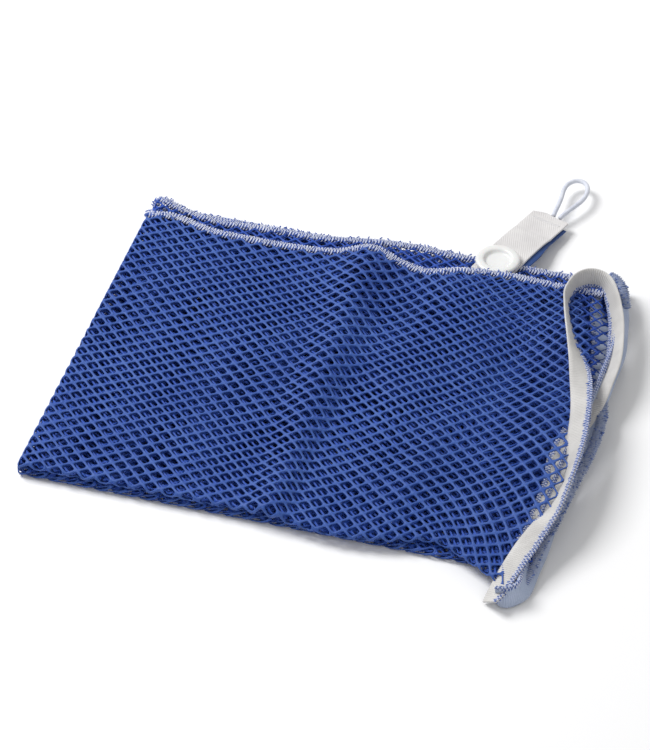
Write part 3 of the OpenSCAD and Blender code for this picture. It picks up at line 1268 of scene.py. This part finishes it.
@dataclass
class OverlockSeam:
    """A side seam: a soft bead of netting edges with thread looped round it.

    The tufts' share is how many ends of yarn stick out for each point of the bead.
    """

    name: str
    line: np.ndarray
    half_w: float = 2.5 * MM
    half_h: float = 1.25 * MM
    loop_pitch: float = 1.95 * MM
    thread_r: float = 0.3 * MM
    thread_off: float = 0.2 * MM
    loop_steps: int = 14
    loop_lean: float = 0.8 * MM
    tuft_share: float = 1.3
    tuft_rise: float = 0.35 * MM
    tuft_run: float = 1.6 * MM
    tuft_out: float = 1.3 * MM
    tuft_r: float = 0.4 * MM

    @staticmethod
    def _uneven(count: int, reach: int, seed: int) -> np.ndarray:
        """Seeded unevenness from -1 to 1.

        Args:
            count: How many points it has.
            reach: How many points it is smooth over.
            seed: The seed.

        Returns:
            One number for each point.
        """
        raw = np.random.default_rng(seed).uniform(-1, 1, int(count / reach) + 3)
        return np.interp(np.arange(count) / reach, np.arange(len(raw)), raw)

    def core(self) -> bpy.types.Object:
        """Builds the bead of netting edges, with cut ends of yarn sticking out.

        Returns:
            The mesh object.
        """
        line = smooth_line(self.line, 1.2 * MM, 8)
        side, up = carried_sides(line)
        turn = np.linspace(0, 2 * math.pi, 10, endpoint=False)
        lump = 1 + 0.14 * self._uneven(len(line), 3, 5)
        wide = (self.half_w * 0.92 * lump)[:, None, None]
        high = (self.half_h * lump)[:, None, None]
        rings = line[:, None] + wide * np.cos(turn)[None, :, None] * side[:, None]
        rings = rings + high * np.sin(turn)[None, :, None] * up[:, None]
        rings[..., 2] = np.maximum(rings[..., 2], 0.1 * MM)
        points, faces = join_parts([rings_mesh(rings), *self._tufts(line, side, up)])
        return add_mesh(f"{self.name}_core", points, faces)

    def _tufts(self, line: np.ndarray, side: np.ndarray, up: np.ndarray) -> list[MeshData]:
        """Short ends of netting yarn between the threads.

        Args:
            line: The bead's centreline.
            side: Sideways directions along it.
            up: Upward directions along it.

        Returns:
            Each end's points and faces.
        """
        chance = np.random.default_rng(21)
        way = headings(line)
        parts = []
        for k in chance.integers(1, len(line) - 1, int(len(line) * self.tuft_share)):
            lean, out, rise = chance.uniform(-1, 1, 3)
            above = up[k] * np.sign(up[k][2] + 1e-9)
            foot = line[k] + side[k] * self.half_w * 0.8 * out + above * self.half_h * 0.8
            height = self.tuft_rise * (1 + rise)
            tip = foot + way[k] * self.tuft_run * lean + side[k] * self.tuft_out * out + above * height
            middle = (foot + tip) / 2 + above * self.tuft_rise
            share = np.linspace(0, 1, 5)[:, None]
            path = foot * (1 - share) ** 2 + 2 * middle * share * (1 - share) + tip * share**2
            parts.append(tube_mesh(path, self.tuft_r, 5))
        return parts

    def loops(self) -> bpy.types.Object:
        """Builds two threads looped round the bead, crossing each other.

        Returns:
            The mesh object.
        """
        line = smooth_line(self.line, 0.2 * MM, 8)
        turns = int(line_length(line) / self.loop_pitch)
        steps = turns * self.loop_steps
        share = np.linspace(0, 1, steps)
        side, up = carried_sides(line)
        way = headings(line)
        parts = []
        for hand, seed in ((1, 11), (-1, 12)):
            drift = self._uneven(steps, 17, seed)
            at = np.clip(share * (len(line) - 1) + drift, 0, len(line) - 1)
            near = np.round(at).astype(int)
            numbers = np.arange(len(line))
            middle = np.stack([np.interp(at, numbers, column) for column in line.T], axis=-1)
            turn = share * turns * 2 * math.pi + 0.9 * self._uneven(steps, 23, seed + 20)
            wide = (self.half_w + self.thread_off) * (1 + 0.16 * self._uneven(steps, 9, seed + 40))
            high = (self.half_h + 0.25 * MM) * (1 + 0.14 * self._uneven(steps, 11, seed + 60))
            lean = self.loop_lean * np.sin(turn) * hand
            path = middle + (wide * np.cos(turn))[:, None] * side[near]
            path += (hand * high * np.sin(turn))[:, None] * up[near]
            path += lean[:, None] * way[near]
            path[:, 2] = np.maximum(path[:, 2], self.thread_r)
            parts.append(tube_mesh(path, self.thread_r, 6))
        points, faces = join_parts(parts)
        return add_mesh(f"{self.name}_loops", points, faces)


@dataclass
class SideSeams:
    """The four leaves' side seams, and the two turns round the crosswise fold."""

    bag: FoldedBag
    finishes: Finishes
    half_w: float = 2.5 * MM
    flat_half_h: float = 0.6 * MM
    full_half_h: float = 1.2 * MM

    def _upper_line(self, leaf: Leaf) -> np.ndarray:
        """The line of a seam in the upper half.

        Args:
            leaf: The seam's leaf.

        Returns:
            One row for each point.
        """
        bag = self.bag
        panel = Panel.INNER if leaf is Leaf.TOP else Panel.OUTER
        reach = bag.mouth_edge(np.array([1.0]), bag.sweep(panel, leaf))[0]
        x = np.linspace(bag.fold_x, reach, 60)
        y = bag.seam_y(leaf, x) - self.half_w
        v = np.ones_like(x)
        outer = bag.height(Panel.OUTER, leaf, x, y, v)
        inner = bag.height(Panel.INNER, leaf, x, y, v)
        return np.stack([x, y, (outer + inner) / 2], axis=-1)

    def _lower_line(self, leaf: Leaf) -> np.ndarray:
        """The line of a seam in the lower half.

        Args:
            leaf: The seam's leaf as it lies in the upper half.

        Returns:
            One row for each point.
        """
        bag = self.bag
        x = np.linspace(bag.fold_x, bag.lower_end, 40)
        y = np.full_like(x, bag.rear_y - self.half_w)
        z = np.full_like(x, bag.hinge_z - bag.seam_radius(leaf))
        return np.stack([x, y, z], axis=-1)

    def _turn_line(self, leaf: Leaf) -> np.ndarray:
        """The line of a seam round the crosswise fold.

        Args:
            leaf: The seam's leaf as it lies in the upper half.

        Returns:
            One row for each point.
        """
        bag = self.bag
        radius = bag.seam_radius(leaf)
        angle = np.linspace(0, math.pi, 14)
        first = bag.seam_y(leaf, bag.fold_x) - self.half_w
        last = bag.rear_y - self.half_w
        x = bag.fold_x - bag.tuck * radius * np.sin(angle)
        y = first + (last - first) * ease(angle / math.pi)
        return np.stack([x, y, bag.hinge_z + radius * np.cos(angle)], axis=-1)

    def build(self) -> None:
        """Builds the seams and puts them on their bodies; the turns round the fold are only baked in
        place.
        """
        line_of = {
            Part.UPPER: self._upper_line,
            Part.WRAP: self._turn_line,
            Part.LOWER: self._lower_line,
        }
        for leaf in Leaf:
            for part in Part:
                stem = LOWER_NAMES[leaf] if part is Part.LOWER else leaf.value
                name = f"{stem}_leaf_seam"
                if part is Part.WRAP:
                    name += "_turn"
                tight = part is Part.LOWER or (leaf is Leaf.SECOND and part is Part.WRAP)
                half_h = self.flat_half_h if tight else self.full_half_h
                seam = OverlockSeam(name, line_of[part](leaf), self.half_w, half_h)
                for piece, material in (
                    (seam.core(), self.finishes.seam_core),
                    (seam.loops(), self.finishes.seam_thread),
                ):
                    dress(piece, material)
                    if part is Part.WRAP:
                        self.bag.bend_round_fold(piece, self.bag.seam_radius(leaf))
                    else:
                        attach(piece, Body.UPPER.value if part is Part.UPPER else Body.LOWER.value)
                        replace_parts(piece, name)
                log.info("%s: %.0f mm long", name, line_length(seam.line) / MM)


# ---------------------------------------------------------------- mouth tape


@dataclass
class Band:
    """A ribbed tape that follows a line, turning as it goes.

    A station holds the tape's middle in millimetres, and the direction across the
    tape from its sewn edge to its free edge.
    """

    name: str
    stations: list[tuple[Point, Point]]
    width: float = 12.7 * MM
    thickness: float = 0.9 * MM
    rib_pitch: float = 1.35 * MM
    rib_rise: float = 0.24 * MM
    curl: float = 0.5 * MM
    stitch_pitch: float = 2.2 * MM
    thread_r: float = 0.3 * MM

    def frame_line(self, spacing: float) -> tuple[np.ndarray, np.ndarray, np.ndarray]:
        """The tape's line.

        Args:
            spacing: Distance between its points.

        Returns:
            The middles, and the directions across the tape and out of its face.
        """
        rows = np.array([[*(np.array(at) * MM), *across] for at, across in self.stations], float)
        line = smooth_line(rows, spacing)
        middle = line[:, :3]
        way = headings(middle)
        across = line[:, 3:] - way * (line[:, 3:] * way).sum(1, keepdims=True)
        across = unit(across)
        return middle, across, np.cross(way, across)

    def ribbon(self) -> bpy.types.Object:
        """Builds the tape itself, with its ribs.

        Returns:
            The mesh object.
        """
        spacing = self.rib_pitch / 6
        middle, across, face = self.frame_line(spacing)
        ring = np.array([-0.5, -0.49, -0.3, -0.1, 0.1, 0.3, 0.49, 0.5])
        rise = np.array([0.35, 0.9, 1, 1, 1, 1, 0.9, 0.35])
        around = np.concatenate([ring, ring[::-1]])
        over = np.concatenate([rise, -rise[::-1]])
        run = np.arange(len(middle)) * spacing
        rib = self.rib_rise * (2 * np.abs(np.cos(math.pi * run / self.rib_pitch)) - 1)
        half = self.thickness / 2 + rib[:, None] * (np.abs(over) > 0.5)
        bow = self.curl * (1 - (2 * around) ** 2)
        wide = self.width * (1 + 0.02 * np.sin(run / (9 * MM)))
        rings = middle[:, None] + (wide[:, None] * around)[:, :, None] * across[:, None]
        rings = rings + (half * over + bow)[:, :, None] * face[:, None]
        points, faces = rings_mesh(rings)
        return add_mesh(self.name, points, faces)

    def ladder(self, name: str, seed: int) -> bpy.types.Object:
        """Builds zigzag stitches along the tape's sewn edge, on both faces.

        Args:
            name: The stitches' name.
            seed: Seed of their unevenness.

        Returns:
            The mesh object.
        """
        middle, across, face = self.frame_line(self.stitch_pitch / 6)
        count = len(middle)
        raw = np.random.default_rng(seed).uniform(-1, 1, (2, count // 5 + 3))
        jitter = [np.interp(np.arange(count) / 5, np.arange(raw.shape[1]), row) for row in raw]
        phase = 2 * math.pi * (np.arange(count) / 6 + seed * 0.5) + 0.8 * jitter[0]
        reach = (3.2 + 0.9 * jitter[1]) * MM
        swing = 2 / math.pi * np.arcsin(np.sin(phase))
        at = -self.width / 2 + reach / 2 - 0.6 * MM + reach / 2 * swing
        parts = []
        for side in (1, -1):
            above = side * (self.thickness / 2 + 0.22 * MM)
            bow = self.curl * (1 - (2 * at / self.width) ** 2)
            path = middle + at[:, None] * across + (above + bow)[:, None] * face
            parts.append(tube_mesh(path, self.thread_r, 6))
        points, faces = join_parts(parts)
        return add_mesh(name, points, faces)


@dataclass
class MouthTape:
    """The tape round the mouth: a front band and a rear band, with their stitches.

    The edge and the corner are the lines, in millimetres, of the overlocking that
    shows beside the tape.
    """

    finishes: Finishes
    edge: tuple[Point, ...] = (
        (158, 20, 13.5),
        (162, 5, 13),
        (163, -12, 12.5),
        (162, -33, 12),
        (159, -55, 11),
        (157, -73, 10.5),
        (155, -92, 10),
        (152, -113, 8.5),
        (151, -128, 7),
        (149, -138, 6),
    )
    corner: tuple[Point, ...] = (
        (139, 128, 16.5),
        (144, 126, 16),
        (149, 120, 15),
        (152, 113, 14),
        (155, 104, 13),
    )
    front: Band = field(
        default_factory=lambda: Band(
            "mouth_tape_front_band",
            [
                ((134, -157, 5), (-0.7, 0.2, -0.6)),
                ((136, -151, 7), (-0.85, 0.2, -0.45)),
                ((138, -144, 9), (-0.9, 0.2, -0.35)),
                ((141, -132, 12), (-0.94, 0.3, -0.17)),
                ((145, -118, 15), (-0.94, 0.33, -0.05)),
                ((150, -101, 17.5), (-0.86, 0.4, -0.31)),
                ((154, -89, 19), (-0.71, 0.3, -0.64)),
                ((156, -76, 21), (-0.56, 0.17, -0.8)),
                ((157, -62, 22.5), (-0.5, 0.06, -0.86)),
                ((156, -45, 23.5), (-0.67, -0.05, -0.74)),
                ((154, -29, 24.5), (-0.88, -0.1, -0.47)),
                ((151, -8, 25), (-0.92, -0.13, -0.38)),
                ((147, 11, 25.5), (-0.95, -0.23, -0.1)),
                ((141, 31, 25.5), (-0.85, -0.26, 0.4)),
                ((134, 48, 25), (-0.58, -0.2, 0.78)),
                ((128, 63, 25), (-0.38, -0.11, 0.93)),
                ((123, 78, 24.5), (-0.26, -0.05, 0.97)),
                ((120, 91, 24.5), (-0.2, -0.01, 0.98)),
                ((122, 105, 24.5), (-0.1, 0.1, 1)),
                ((129, 113, 24), (0, 0.2, 0.98)),
                ((138, 113, 23), (0.2, 0.15, 0.95)),
                ((145, 104, 22), (0.42, 0.11, 0.9)),
                ((153, 83, 20), (0.6, 0.09, 0.8)),
                ((157, 63, 18), (0.7, 0.03, 0.72)),
                ((159, 45, 16.5), (0.76, -0.05, 0.66)),
                ((158, 27, 15), (0.8, -0.1, 0.55)),
                ((156, 13, 13.5), (0.8, -0.3, 0.3)),
                ((152, -2, 12), (0.9, -0.3, 0)),
                ((148, -18, 12), (0.95, -0.3, 0)),
                ((146, -37, 11.5), (1, -0.1, 0)),
                ((148, -61, 11), (1, 0.1, 0)),
                ((147, -81, 10), (1, 0.3, 0)),
                ((146, -99, 9), (0.9, 0.4, 0)),
                ((144, -109, 8.5), (0.9, 0.4, 0)),
            ],
        )
    )
    rear: Band = field(
        default_factory=lambda: Band(
            "mouth_tape_rear_band",
            [
                ((136, -152, 7), (-0.4, 0.2, -0.9)),
                ((141, -153, 7), (0.1, -0.3, -0.95)),
                ((146, -150, 7), (0.3, -0.2, -0.95)),
                ((150, -143, 7), (0.5, 0.1, -0.8)),
                ((150, -128, 7), (0.8, 0.1, -0.6)),
                ((151, -109, 6.5), (0.8, 0.1, -0.6)),
                ((151, -85, 7.5), (0.8, 0.1, -0.6)),
                ((152, -60, 9), (0.8, 0.1, -0.6)),
                ((153, -35, 10), (0.8, 0.1, -0.6)),
                ((155, -9, 11), (0.8, 0.1, -0.6)),
                ((157, 16, 12), (0.7, 0.1, -0.7)),
                ((158, 38, 12.5), (0.65, 0.1, -0.75)),
                ((159, 63, 13), (0.6, 0.1, -0.75)),
                ((156, 85, 13.5), (0.6, 0.1, -0.75)),
                ((153, 101, 14), (0.6, 0.2, -0.75)),
                ((148, 113, 14.5), (0.5, 0.4, -0.7)),
                ((141, 118, 14), (0, 0.8, -0.6)),
                ((137, 116, 11), (-0.6, 0.6, -0.3)),
                ((138, 103, 9), (0.5, 0.4, -0.6)),
                ((145, 81, 8), (1, 0, 0)),
                ((151, 54, 8), (1, 0, 0)),
                ((153, 21, 8), (1, 0, 0)),
                ((152, -12, 8), (1, 0, 0)),
                ((150, -45, 8), (1, 0, 0)),
                ((148, -75, 7.5), (1, 0, 0)),
                ((146, -102, 7), (1, 0, 0)),
                ((145, -115, 6.5), (1, 0, 0)),
            ],
        )
    )

    def build(self) -> None:
        """Builds both bands, their stitches, and the overlocked edge behind them."""
        for band, end, weave in (
            (self.front, "front", self.finishes.tape),
            # The rear band takes the tape copy with painted shade.
            (self.rear, "rear", self.finishes.tape_painted_shade),
        ):
            ribbon = dress(band.ribbon(), weave)
            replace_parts(ribbon, f"mouth_tape_{end}", f"mouth_tape_{end}_lining")
            dark = band.ladder(f"{band.name}_stitches", 1)
            dress(dark, self.finishes.stitch)
            pale = band.ladder(f"{band.name}_edging", 2)
            dress(pale, self.finishes.seam_thread)
            for piece in (dark, pale):
                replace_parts(piece, f"tape_stitching_{end}")
            for piece in (ribbon, dark, pale):
                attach(piece, Body.UPPER.value)
            length = line_length(band.frame_line(2 * MM)[0])
            log.info("%s: %.0f mm long", band.name, length / MM)
        self._overlock("mouth_edge_overlock", self.edge, "tape_stitching_rear", 2.9 * MM)
        self._overlock("mouth_corner_overlock", self.corner, "second_leaf_seam", 2.6 * MM)

    def _overlock(self, name: str, line: tuple[Point, ...], node: str, half_w: float) -> None:
        """Builds a length of overlocking that shows beside the tape.

        Args:
            name: The length's name.
            line: Its line, in millimetres.
            node: The solid that it belongs to.
            half_w: Half its width.
        """
        seam = OverlockSeam(name, np.array(line) * MM, half_w, half_h=0.9 * MM, loop_pitch=1.4 * MM)
        for piece, material in (
            (seam.core(), self.finishes.edge_core),
            # The threads take the overlock thread's copy with painted shade.
            (seam.loops(), self.finishes.edge_thread),
        ):
            dress(piece, material)
            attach(piece, Body.UPPER.value)
            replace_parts(piece, node)
        log.info("%s: %.0f mm long", name, line_length(seam.line) / MM)


# ---------------------------------------------------------------- strap, button and loop


@dataclass
class ClosureStrap:
    """The strap with its bar tacks, and a dark blue strip of painted shadow beside it.

    Its run is measured from the button, and is below nought towards its root. The
    droop and the angle are in degrees.
    """

    finishes: Finishes
    width: float = 25.4 * MM
    thickness: float = 1.4 * MM
    droop: float = 6.0
    root: float = 11.0 * MM
    bend: float = 18.0 * MM
    bend_half: float = 4.0 * MM
    reach: float = 64.0 * MM
    angle: float = 72.0
    crease_at: float = 43.0 * MM
    rib_pitch: float = 1.2 * MM
    rib_rise: float = 0.1 * MM
    rib_tilt: float = 35.0

    def __post_init__(self) -> None:
        """Takes the strap's place from the button and the strap's root."""
        low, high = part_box("button")
        middle = (low + high) / 2
        self.centre = np.array([middle.x, middle.y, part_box("strap_root")[1].z])

    def world(self, local: np.ndarray) -> np.ndarray:
        """Turns the strap's own points into the bag's.

        Args:
            local: Points with their run, their place across, and their height.

        Returns:
            The same points on the bag.
        """
        c = math.cos(math.radians(self.angle))
        s = math.sin(math.radians(self.angle))
        x = c * local[..., 0] - s * local[..., 1]
        y = s * local[..., 0] + c * local[..., 1]
        return self.centre + np.stack([x, y, local[..., 2]], axis=-1)

    def surface(self, run: np.ndarray, across: np.ndarray | float) -> np.ndarray:
        """Height of the strap's top face with its crease, its waves and its cupping.

        Args:
            run: Distances from the button.
            across: Shares of the way across, from -0.5 to 0.5.

        Returns:
            The heights above the strap's root.
        """
        past = run - self.bend
        slope = -np.maximum(past, 0) * math.tan(math.radians(self.droop))
        crease = -0.5 * MM * np.exp(-(((run - self.crease_at) / (2.4 * MM)) ** 2))
        wave = 0.5 * MM * np.sin(run / (11 * MM)) * ease(past / (20 * MM))
        cup = 0.5 * MM * (2 * across) ** 2 * ease(past / (25 * MM))
        return slope + crease + wave + cup

    def webbing(self) -> bpy.types.Object:
        """Builds the strap itself: ribbed, with a soft crease and a bowed end.

        Returns:
            The piece.
        """
        spacing = 0.28 * MM
        run = np.arange(-self.root, self.reach, spacing)
        inner = np.linspace(-0.485, 0.485, 108)
        across = np.concatenate([[-0.5, -0.495], inner, [0.495, 0.5]])
        rise = np.concatenate([[0.3, 0.85], np.ones(len(inner)), [0.85, 0.3]])
        around = np.concatenate([across, across[::-1]])
        over = np.concatenate([rise, -rise[::-1]])
        tilt = math.radians(self.rib_tilt)
        weft = self.width * around[None] * math.cos(tilt) - run[:, None] * math.sin(tilt)
        rib = self.rib_rise * np.cos(2 * math.pi * weft / self.rib_pitch)
        x = np.broadcast_to(run[:, None], (len(run), len(around))).copy()
        end = ease((run - self.reach + 5 * MM) / (5 * MM))[:, None]
        x += end * (0.5 * MM * np.sin(around * 9) + 2.1 * MM * (1 - (2 * around) ** 2))[None]
        y = self.width * around[None] * (1 + 0.006 * np.sin(run / (7 * MM)))[:, None]
        half = self.thickness / 2 + rib * np.abs(over)[None]
        z = self.surface(run[:, None], around[None]) - self.thickness / 2 + half * over[None]
        points, faces = rings_mesh(self.world(np.stack([x, y, z], axis=-1)))
        strap = dress(add_mesh("closure_strap", points, faces), self.finishes.strap)
        self._bend(strap)
        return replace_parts(strap, "strap_root", "strap_end")

    def painted_shadow_strip(self) -> bpy.types.Object:
        """Builds a dark blue strip under the strap, which shows past its right edge: painted shadow,
        standing for the shadow the strap casts there.

        Returns:
            The piece.
        """
        run = np.arange(6 * MM, self.reach - 5 * MM, 1 * MM)
        across = np.array([-0.5, -0.48, 0.48, 0.5, 0.48, -0.48])
        over = np.array([0, 0.3, 0.3, 0, -0.3, -0.3]) * MM
        aside = (4.9 * MM - 2.6 * MM * ease((run - 10 * MM) / (45 * MM)))[:, None]
        x = np.broadcast_to(run[:, None], (len(run), len(across)))
        y = self.width * across[None] * 0.94 - aside + 0.4 * MM * np.sin(run / (5 * MM))[:, None]
        z = self.surface(run[:, None], 0.0) - self.thickness - 0.6 * MM + over[None]
        points, faces = rings_mesh(self.world(np.stack([x, y, z], axis=-1)))
        piece = add_mesh("closure_strap_facing", points, faces)
        dress(piece, self.finishes.painted_shadow_strip)
        self._bend(piece)
        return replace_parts(piece, "strap_root", "strap_end")

    def _bend(self, piece: bpy.types.Object) -> None:
        """Bakes a piece in place; it is not bent between the bag and the strap's loose end.

        Args:
            piece: The piece.
        """
        start, end = (
            tuple(self.world(np.array([self.bend + way * self.bend_half, 0.0, 0.0]))) for way in (-1, 1)
        )
        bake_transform(piece)

    def tack(self, name: str, run: float, body: Body, node: str) -> bpy.types.Object:
        """Builds a bar tack: close zigzag stitches across the strap.

        Args:
            name: The tack's name.
            run: Its distance from the button.
            body: The body it rides on.
            node: The solid it stands for.

        Returns:
            The piece.
        """
        length = 19 * MM
        turns = 30
        share = np.linspace(0, 1, turns * 8)
        swing = np.sin(share * turns * 2 * math.pi)
        y = (share - 0.5) * length
        x = run + 1.1 * MM * swing
        z = self.surface(x, y / self.width) + 0.1 * MM * np.cos(share * turns * 4 * math.pi)
        path = self.world(np.stack([x, y, z], axis=-1))
        points, faces = tube_mesh(path, 0.2 * MM, 6)
        piece = dress(add_mesh(name, points, faces), self.finishes.white_thread)
        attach(piece, body.value)
        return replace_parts(piece, node)

    def build(self) -> None:
        """Builds the strap and its tacks."""
        strap = self.webbing()
        self.tack("strap_root_stitches", 3 * MM - self.root, Body.UPPER, "strap_root_tack")
        far = self.reach - 6 * MM
        tack = self.tack("strap_end_stitches", far, Body.STRAP_END, "strap_end_tack")
        # Painted shadow: the dark blue strip past the strap's right edge.
        self.painted_shadow_strip()


@dataclass
class Button:
    """The dished button, turned from one outline, and the thread round its shank."""

    strap: ClosureStrap
    finishes: Finishes
    lift: float = 1.6 * MM
    sides: int = 96
    shank_r: float = 2.75 * MM
    thread_r: float = 0.3 * MM
    turns: int = 2

    def _outline(self) -> np.ndarray:
        """The button's outline from its middle below to its middle above.

        Returns:
            Rows of a radius and a height.
        """
        corners = np.array(
            [
                [0.2, -1.35],
                [2.0, -1.35],
                [2.2, -0.9],
                [2.2, 0.0],
                [6.0, -0.02],
                [11.2, 0.0],
                [12.6, 0.25],
                [13.5, 0.9],
                [13.98, 1.8],
                [13.6, 2.8],
                [12.7, 3.4],
                [11.3, 3.6],
                [9.8, 3.5],
                [8.9, 3.05],
                [8.3, 2.2],
                [7.7, 1.5],
                [6.6, 1.2],
                [3.0, 1.1],
                [0.2, 1.1],
            ]
        )
        rows = np.column_stack([corners, np.zeros(len(corners))]) * MM
        return smooth_line(rows, 0.35 * MM)[:, :2]

    def build(self) -> None:
        """Builds the button and its thread."""
        outline = self._outline()
        turn = np.linspace(0, 2 * math.pi, self.sides, endpoint=False)
        radius = outline[:, :1]
        height = np.broadcast_to(outline[:, 1:] + self.lift, (len(outline), self.sides))
        rings = np.stack([radius * np.cos(turn), radius * np.sin(turn), height], axis=-1)
        points, faces = rings_mesh(self.strap.world(rings))
        disc = add_mesh("button_disc", points, faces[:, ::-1])
        dress(disc, self.finishes.button)
        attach(disc, Body.BUTTON.value)
        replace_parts(disc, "button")
        self._windings()
        log.info("button_disc: %.0f mm across", 2 * radius.max() / MM)

    def _windings(self) -> None:
        """Winds the thread round the button's shank."""
        wind = np.linspace(0, self.turns * 2 * math.pi, 90)
        height = 0.35 * MM + self.thread_r * wind / wind[-1]
        round_shank = [self.shank_r * np.cos(wind), self.shank_r * np.sin(wind), height]
        path = self.strap.world(np.stack(round_shank, axis=-1))
        points, faces = tube_mesh(path, self.thread_r, 8)
        thread = add_mesh("button_thread_windings", points, faces)
        dress(thread, self.finishes.white_thread)
        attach(thread, Body.UPPER.value)
        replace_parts(thread, "button_thread")


@dataclass
class ElasticLoop:
    """The elastic cord: out of the strap's end, round the loop and back in."""

    finishes: Finishes
    diameter: float = 3.0 * MM
    sides: int = 24
    strands: int = 4
    braid_pitch: float = 1.1 * MM
    route: np.ndarray = field(
        default_factory=lambda: np.array(
            [
                (0.0902, 0.1873, 0.0066),
                (0.0904, 0.1920, 0.0071),
                (0.0909, 0.1985, 0.0073),
                (0.0910, 0.2060, 0.0073),
                (0.0907, 0.2130, 0.0073),
                (0.0916, 0.2195, 0.0073),
                (0.0948, 0.2242, 0.0073),
                (0.0986, 0.2256, 0.0073),
                (0.1022, 0.2242, 0.0073),
                (0.1048, 0.2200, 0.0073),
                (0.1056, 0.2140, 0.0073),
                (0.1046, 0.2072, 0.0073),
                (0.1020, 0.2008, 0.0073),
                (0.0989, 0.1948, 0.0072),
                (0.0963, 0.1898, 0.0069),
                (0.0946, 0.1858, 0.0066),
            ]
        )
    )

    def build(self) -> None:
        spacing = 0.26 * MM
        line = smooth_line(self.route, spacing)
        side, up = carried_sides(line)
        turn = np.linspace(0, 2 * math.pi, self.sides, endpoint=False)
        run = 2 * math.pi * np.arange(len(line))[:, None] * spacing / self.braid_pitch
        round_cord = self.strands * turn[None]
        weave = np.sin(round_cord + run) * np.sin(round_cord - run)
        radius = self.diameter / 2 * (0.97 + 0.045 * weave)
        rings = line[:, None] + (radius * np.cos(turn))[:, :, None] * side[:, None]
        rings = rings + (radius * np.sin(turn))[:, :, None] * up[:, None]
        points, faces = rings_mesh(rings)
        cord = add_mesh("elastic_loop_cord", points, faces)
        dress(cord, self.finishes.elastic)
        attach(cord, Body.LOOP.value)
        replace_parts(cord, "elastic_loop")


# ---------------------------------------------------------------- the studio


@dataclass
class Studio:
    """The camera, the pale floor and the soft lights.

    The camera's angles are in degrees, and its lens and its sensor in millimetres.
    """

    azimuth: float = 16.0
    elevation: float = 41.3
    distance: float = 2.06
    lens: float = 164.2
    sensor: float = 36.0
    aim: Point = (-0.0088, 0.0078, 0.0)
    floor_reach: float = 6.0
    floor_drop: float = 0.15 * MM

    def camera(self) -> None:
        """Makes the camera and makes it the scene's."""
        a = math.radians(self.azimuth)
        e = math.radians(self.elevation)
        back = Vector((math.sin(a) * math.cos(e), -math.cos(a) * math.cos(e), math.sin(e)))
        data = bpy.data.cameras.new("camera")
        data.lens = self.lens
        data.sensor_width = self.sensor
        camera = bpy.data.objects.new("camera", data)
        camera.location = Vector(self.aim) + back * self.distance
        camera.rotation_mode = "QUATERNION"
        camera.rotation_quaternion = (-back).to_track_quat("-Z", "Y")
        bpy.context.scene.collection.objects.link(camera)
        bpy.context.scene.camera = camera

    @staticmethod
    def _soft_light(name: str, place: Point, size: float, power: float) -> None:
        """Adds a square soft light that faces the bag.

        Args:
            name: The light's name.
            place: Where it hangs.
            size: The length of its side.
            power: Its power in watts.
        """
        data = bpy.data.lights.new(name, "AREA")
        data.size = size
        data.energy = power
        light = bpy.data.objects.new(name, data)
        light.location = place
        light.rotation_mode = "QUATERNION"
        light.rotation_quaternion = (-Vector(place)).to_track_quat("-Z", "Y")
        bpy.context.scene.collection.objects.link(light)

    def lights(self) -> None:
        """Adds the lights and the even light of the room."""
        self._soft_light("key_light", (-1.15, 0.25, 1.45), 0.9, 36.0)
        self._soft_light("fill_light", (1.2, -1.2, 1.3), 1.4, 5.0)
        world = bpy.data.worlds.new("studio")
        world.use_nodes = True
        background = world.node_tree.nodes["Background"]
        background.inputs["Color"].default_value = (1.0, 1.0, 1.0, 1.0)
        background.inputs["Strength"].default_value = 0.5
        bpy.context.scene.world = world
        bpy.context.scene.view_settings.view_transform = "Standard"

    def floor(self) -> None:
        """Lays the floor."""
        reach = self.floor_reach
        corners = ((-reach, -reach), (reach, -reach), (reach, reach), (-reach, reach))
        points = np.array([(x, y, -self.floor_drop) for x, y in corners])
        floor = add_mesh("floor", points, np.array([[0, 1, 2, 3]]))
        floor.data.materials.append(FloorFinish().material())

    def build(self) -> None:
        """Builds the studio."""
        self.camera()
        self.lights()
        self.floor()
        log.info("studio: camera turned %.0f, raised %.1f degrees", self.azimuth, self.elevation)


def main() -> None:
    """Builds the studio, the elastic loop and then every other piece."""
    logging.basicConfig(level=logging.INFO, format="%(name)s: %(message)s")
    Studio().build()
    finishes = Finishes()
    ElasticLoop(finishes).build()
    strap = ClosureStrap(finishes)
    strap.build()
    Button(strap, finishes).build()
    bag = FoldedBag()
    Netting(bag, finishes).build()
    SideSeams(bag, finishes).build()
    MouthTape(finishes).build()


if __name__ == "__main__":
    main()
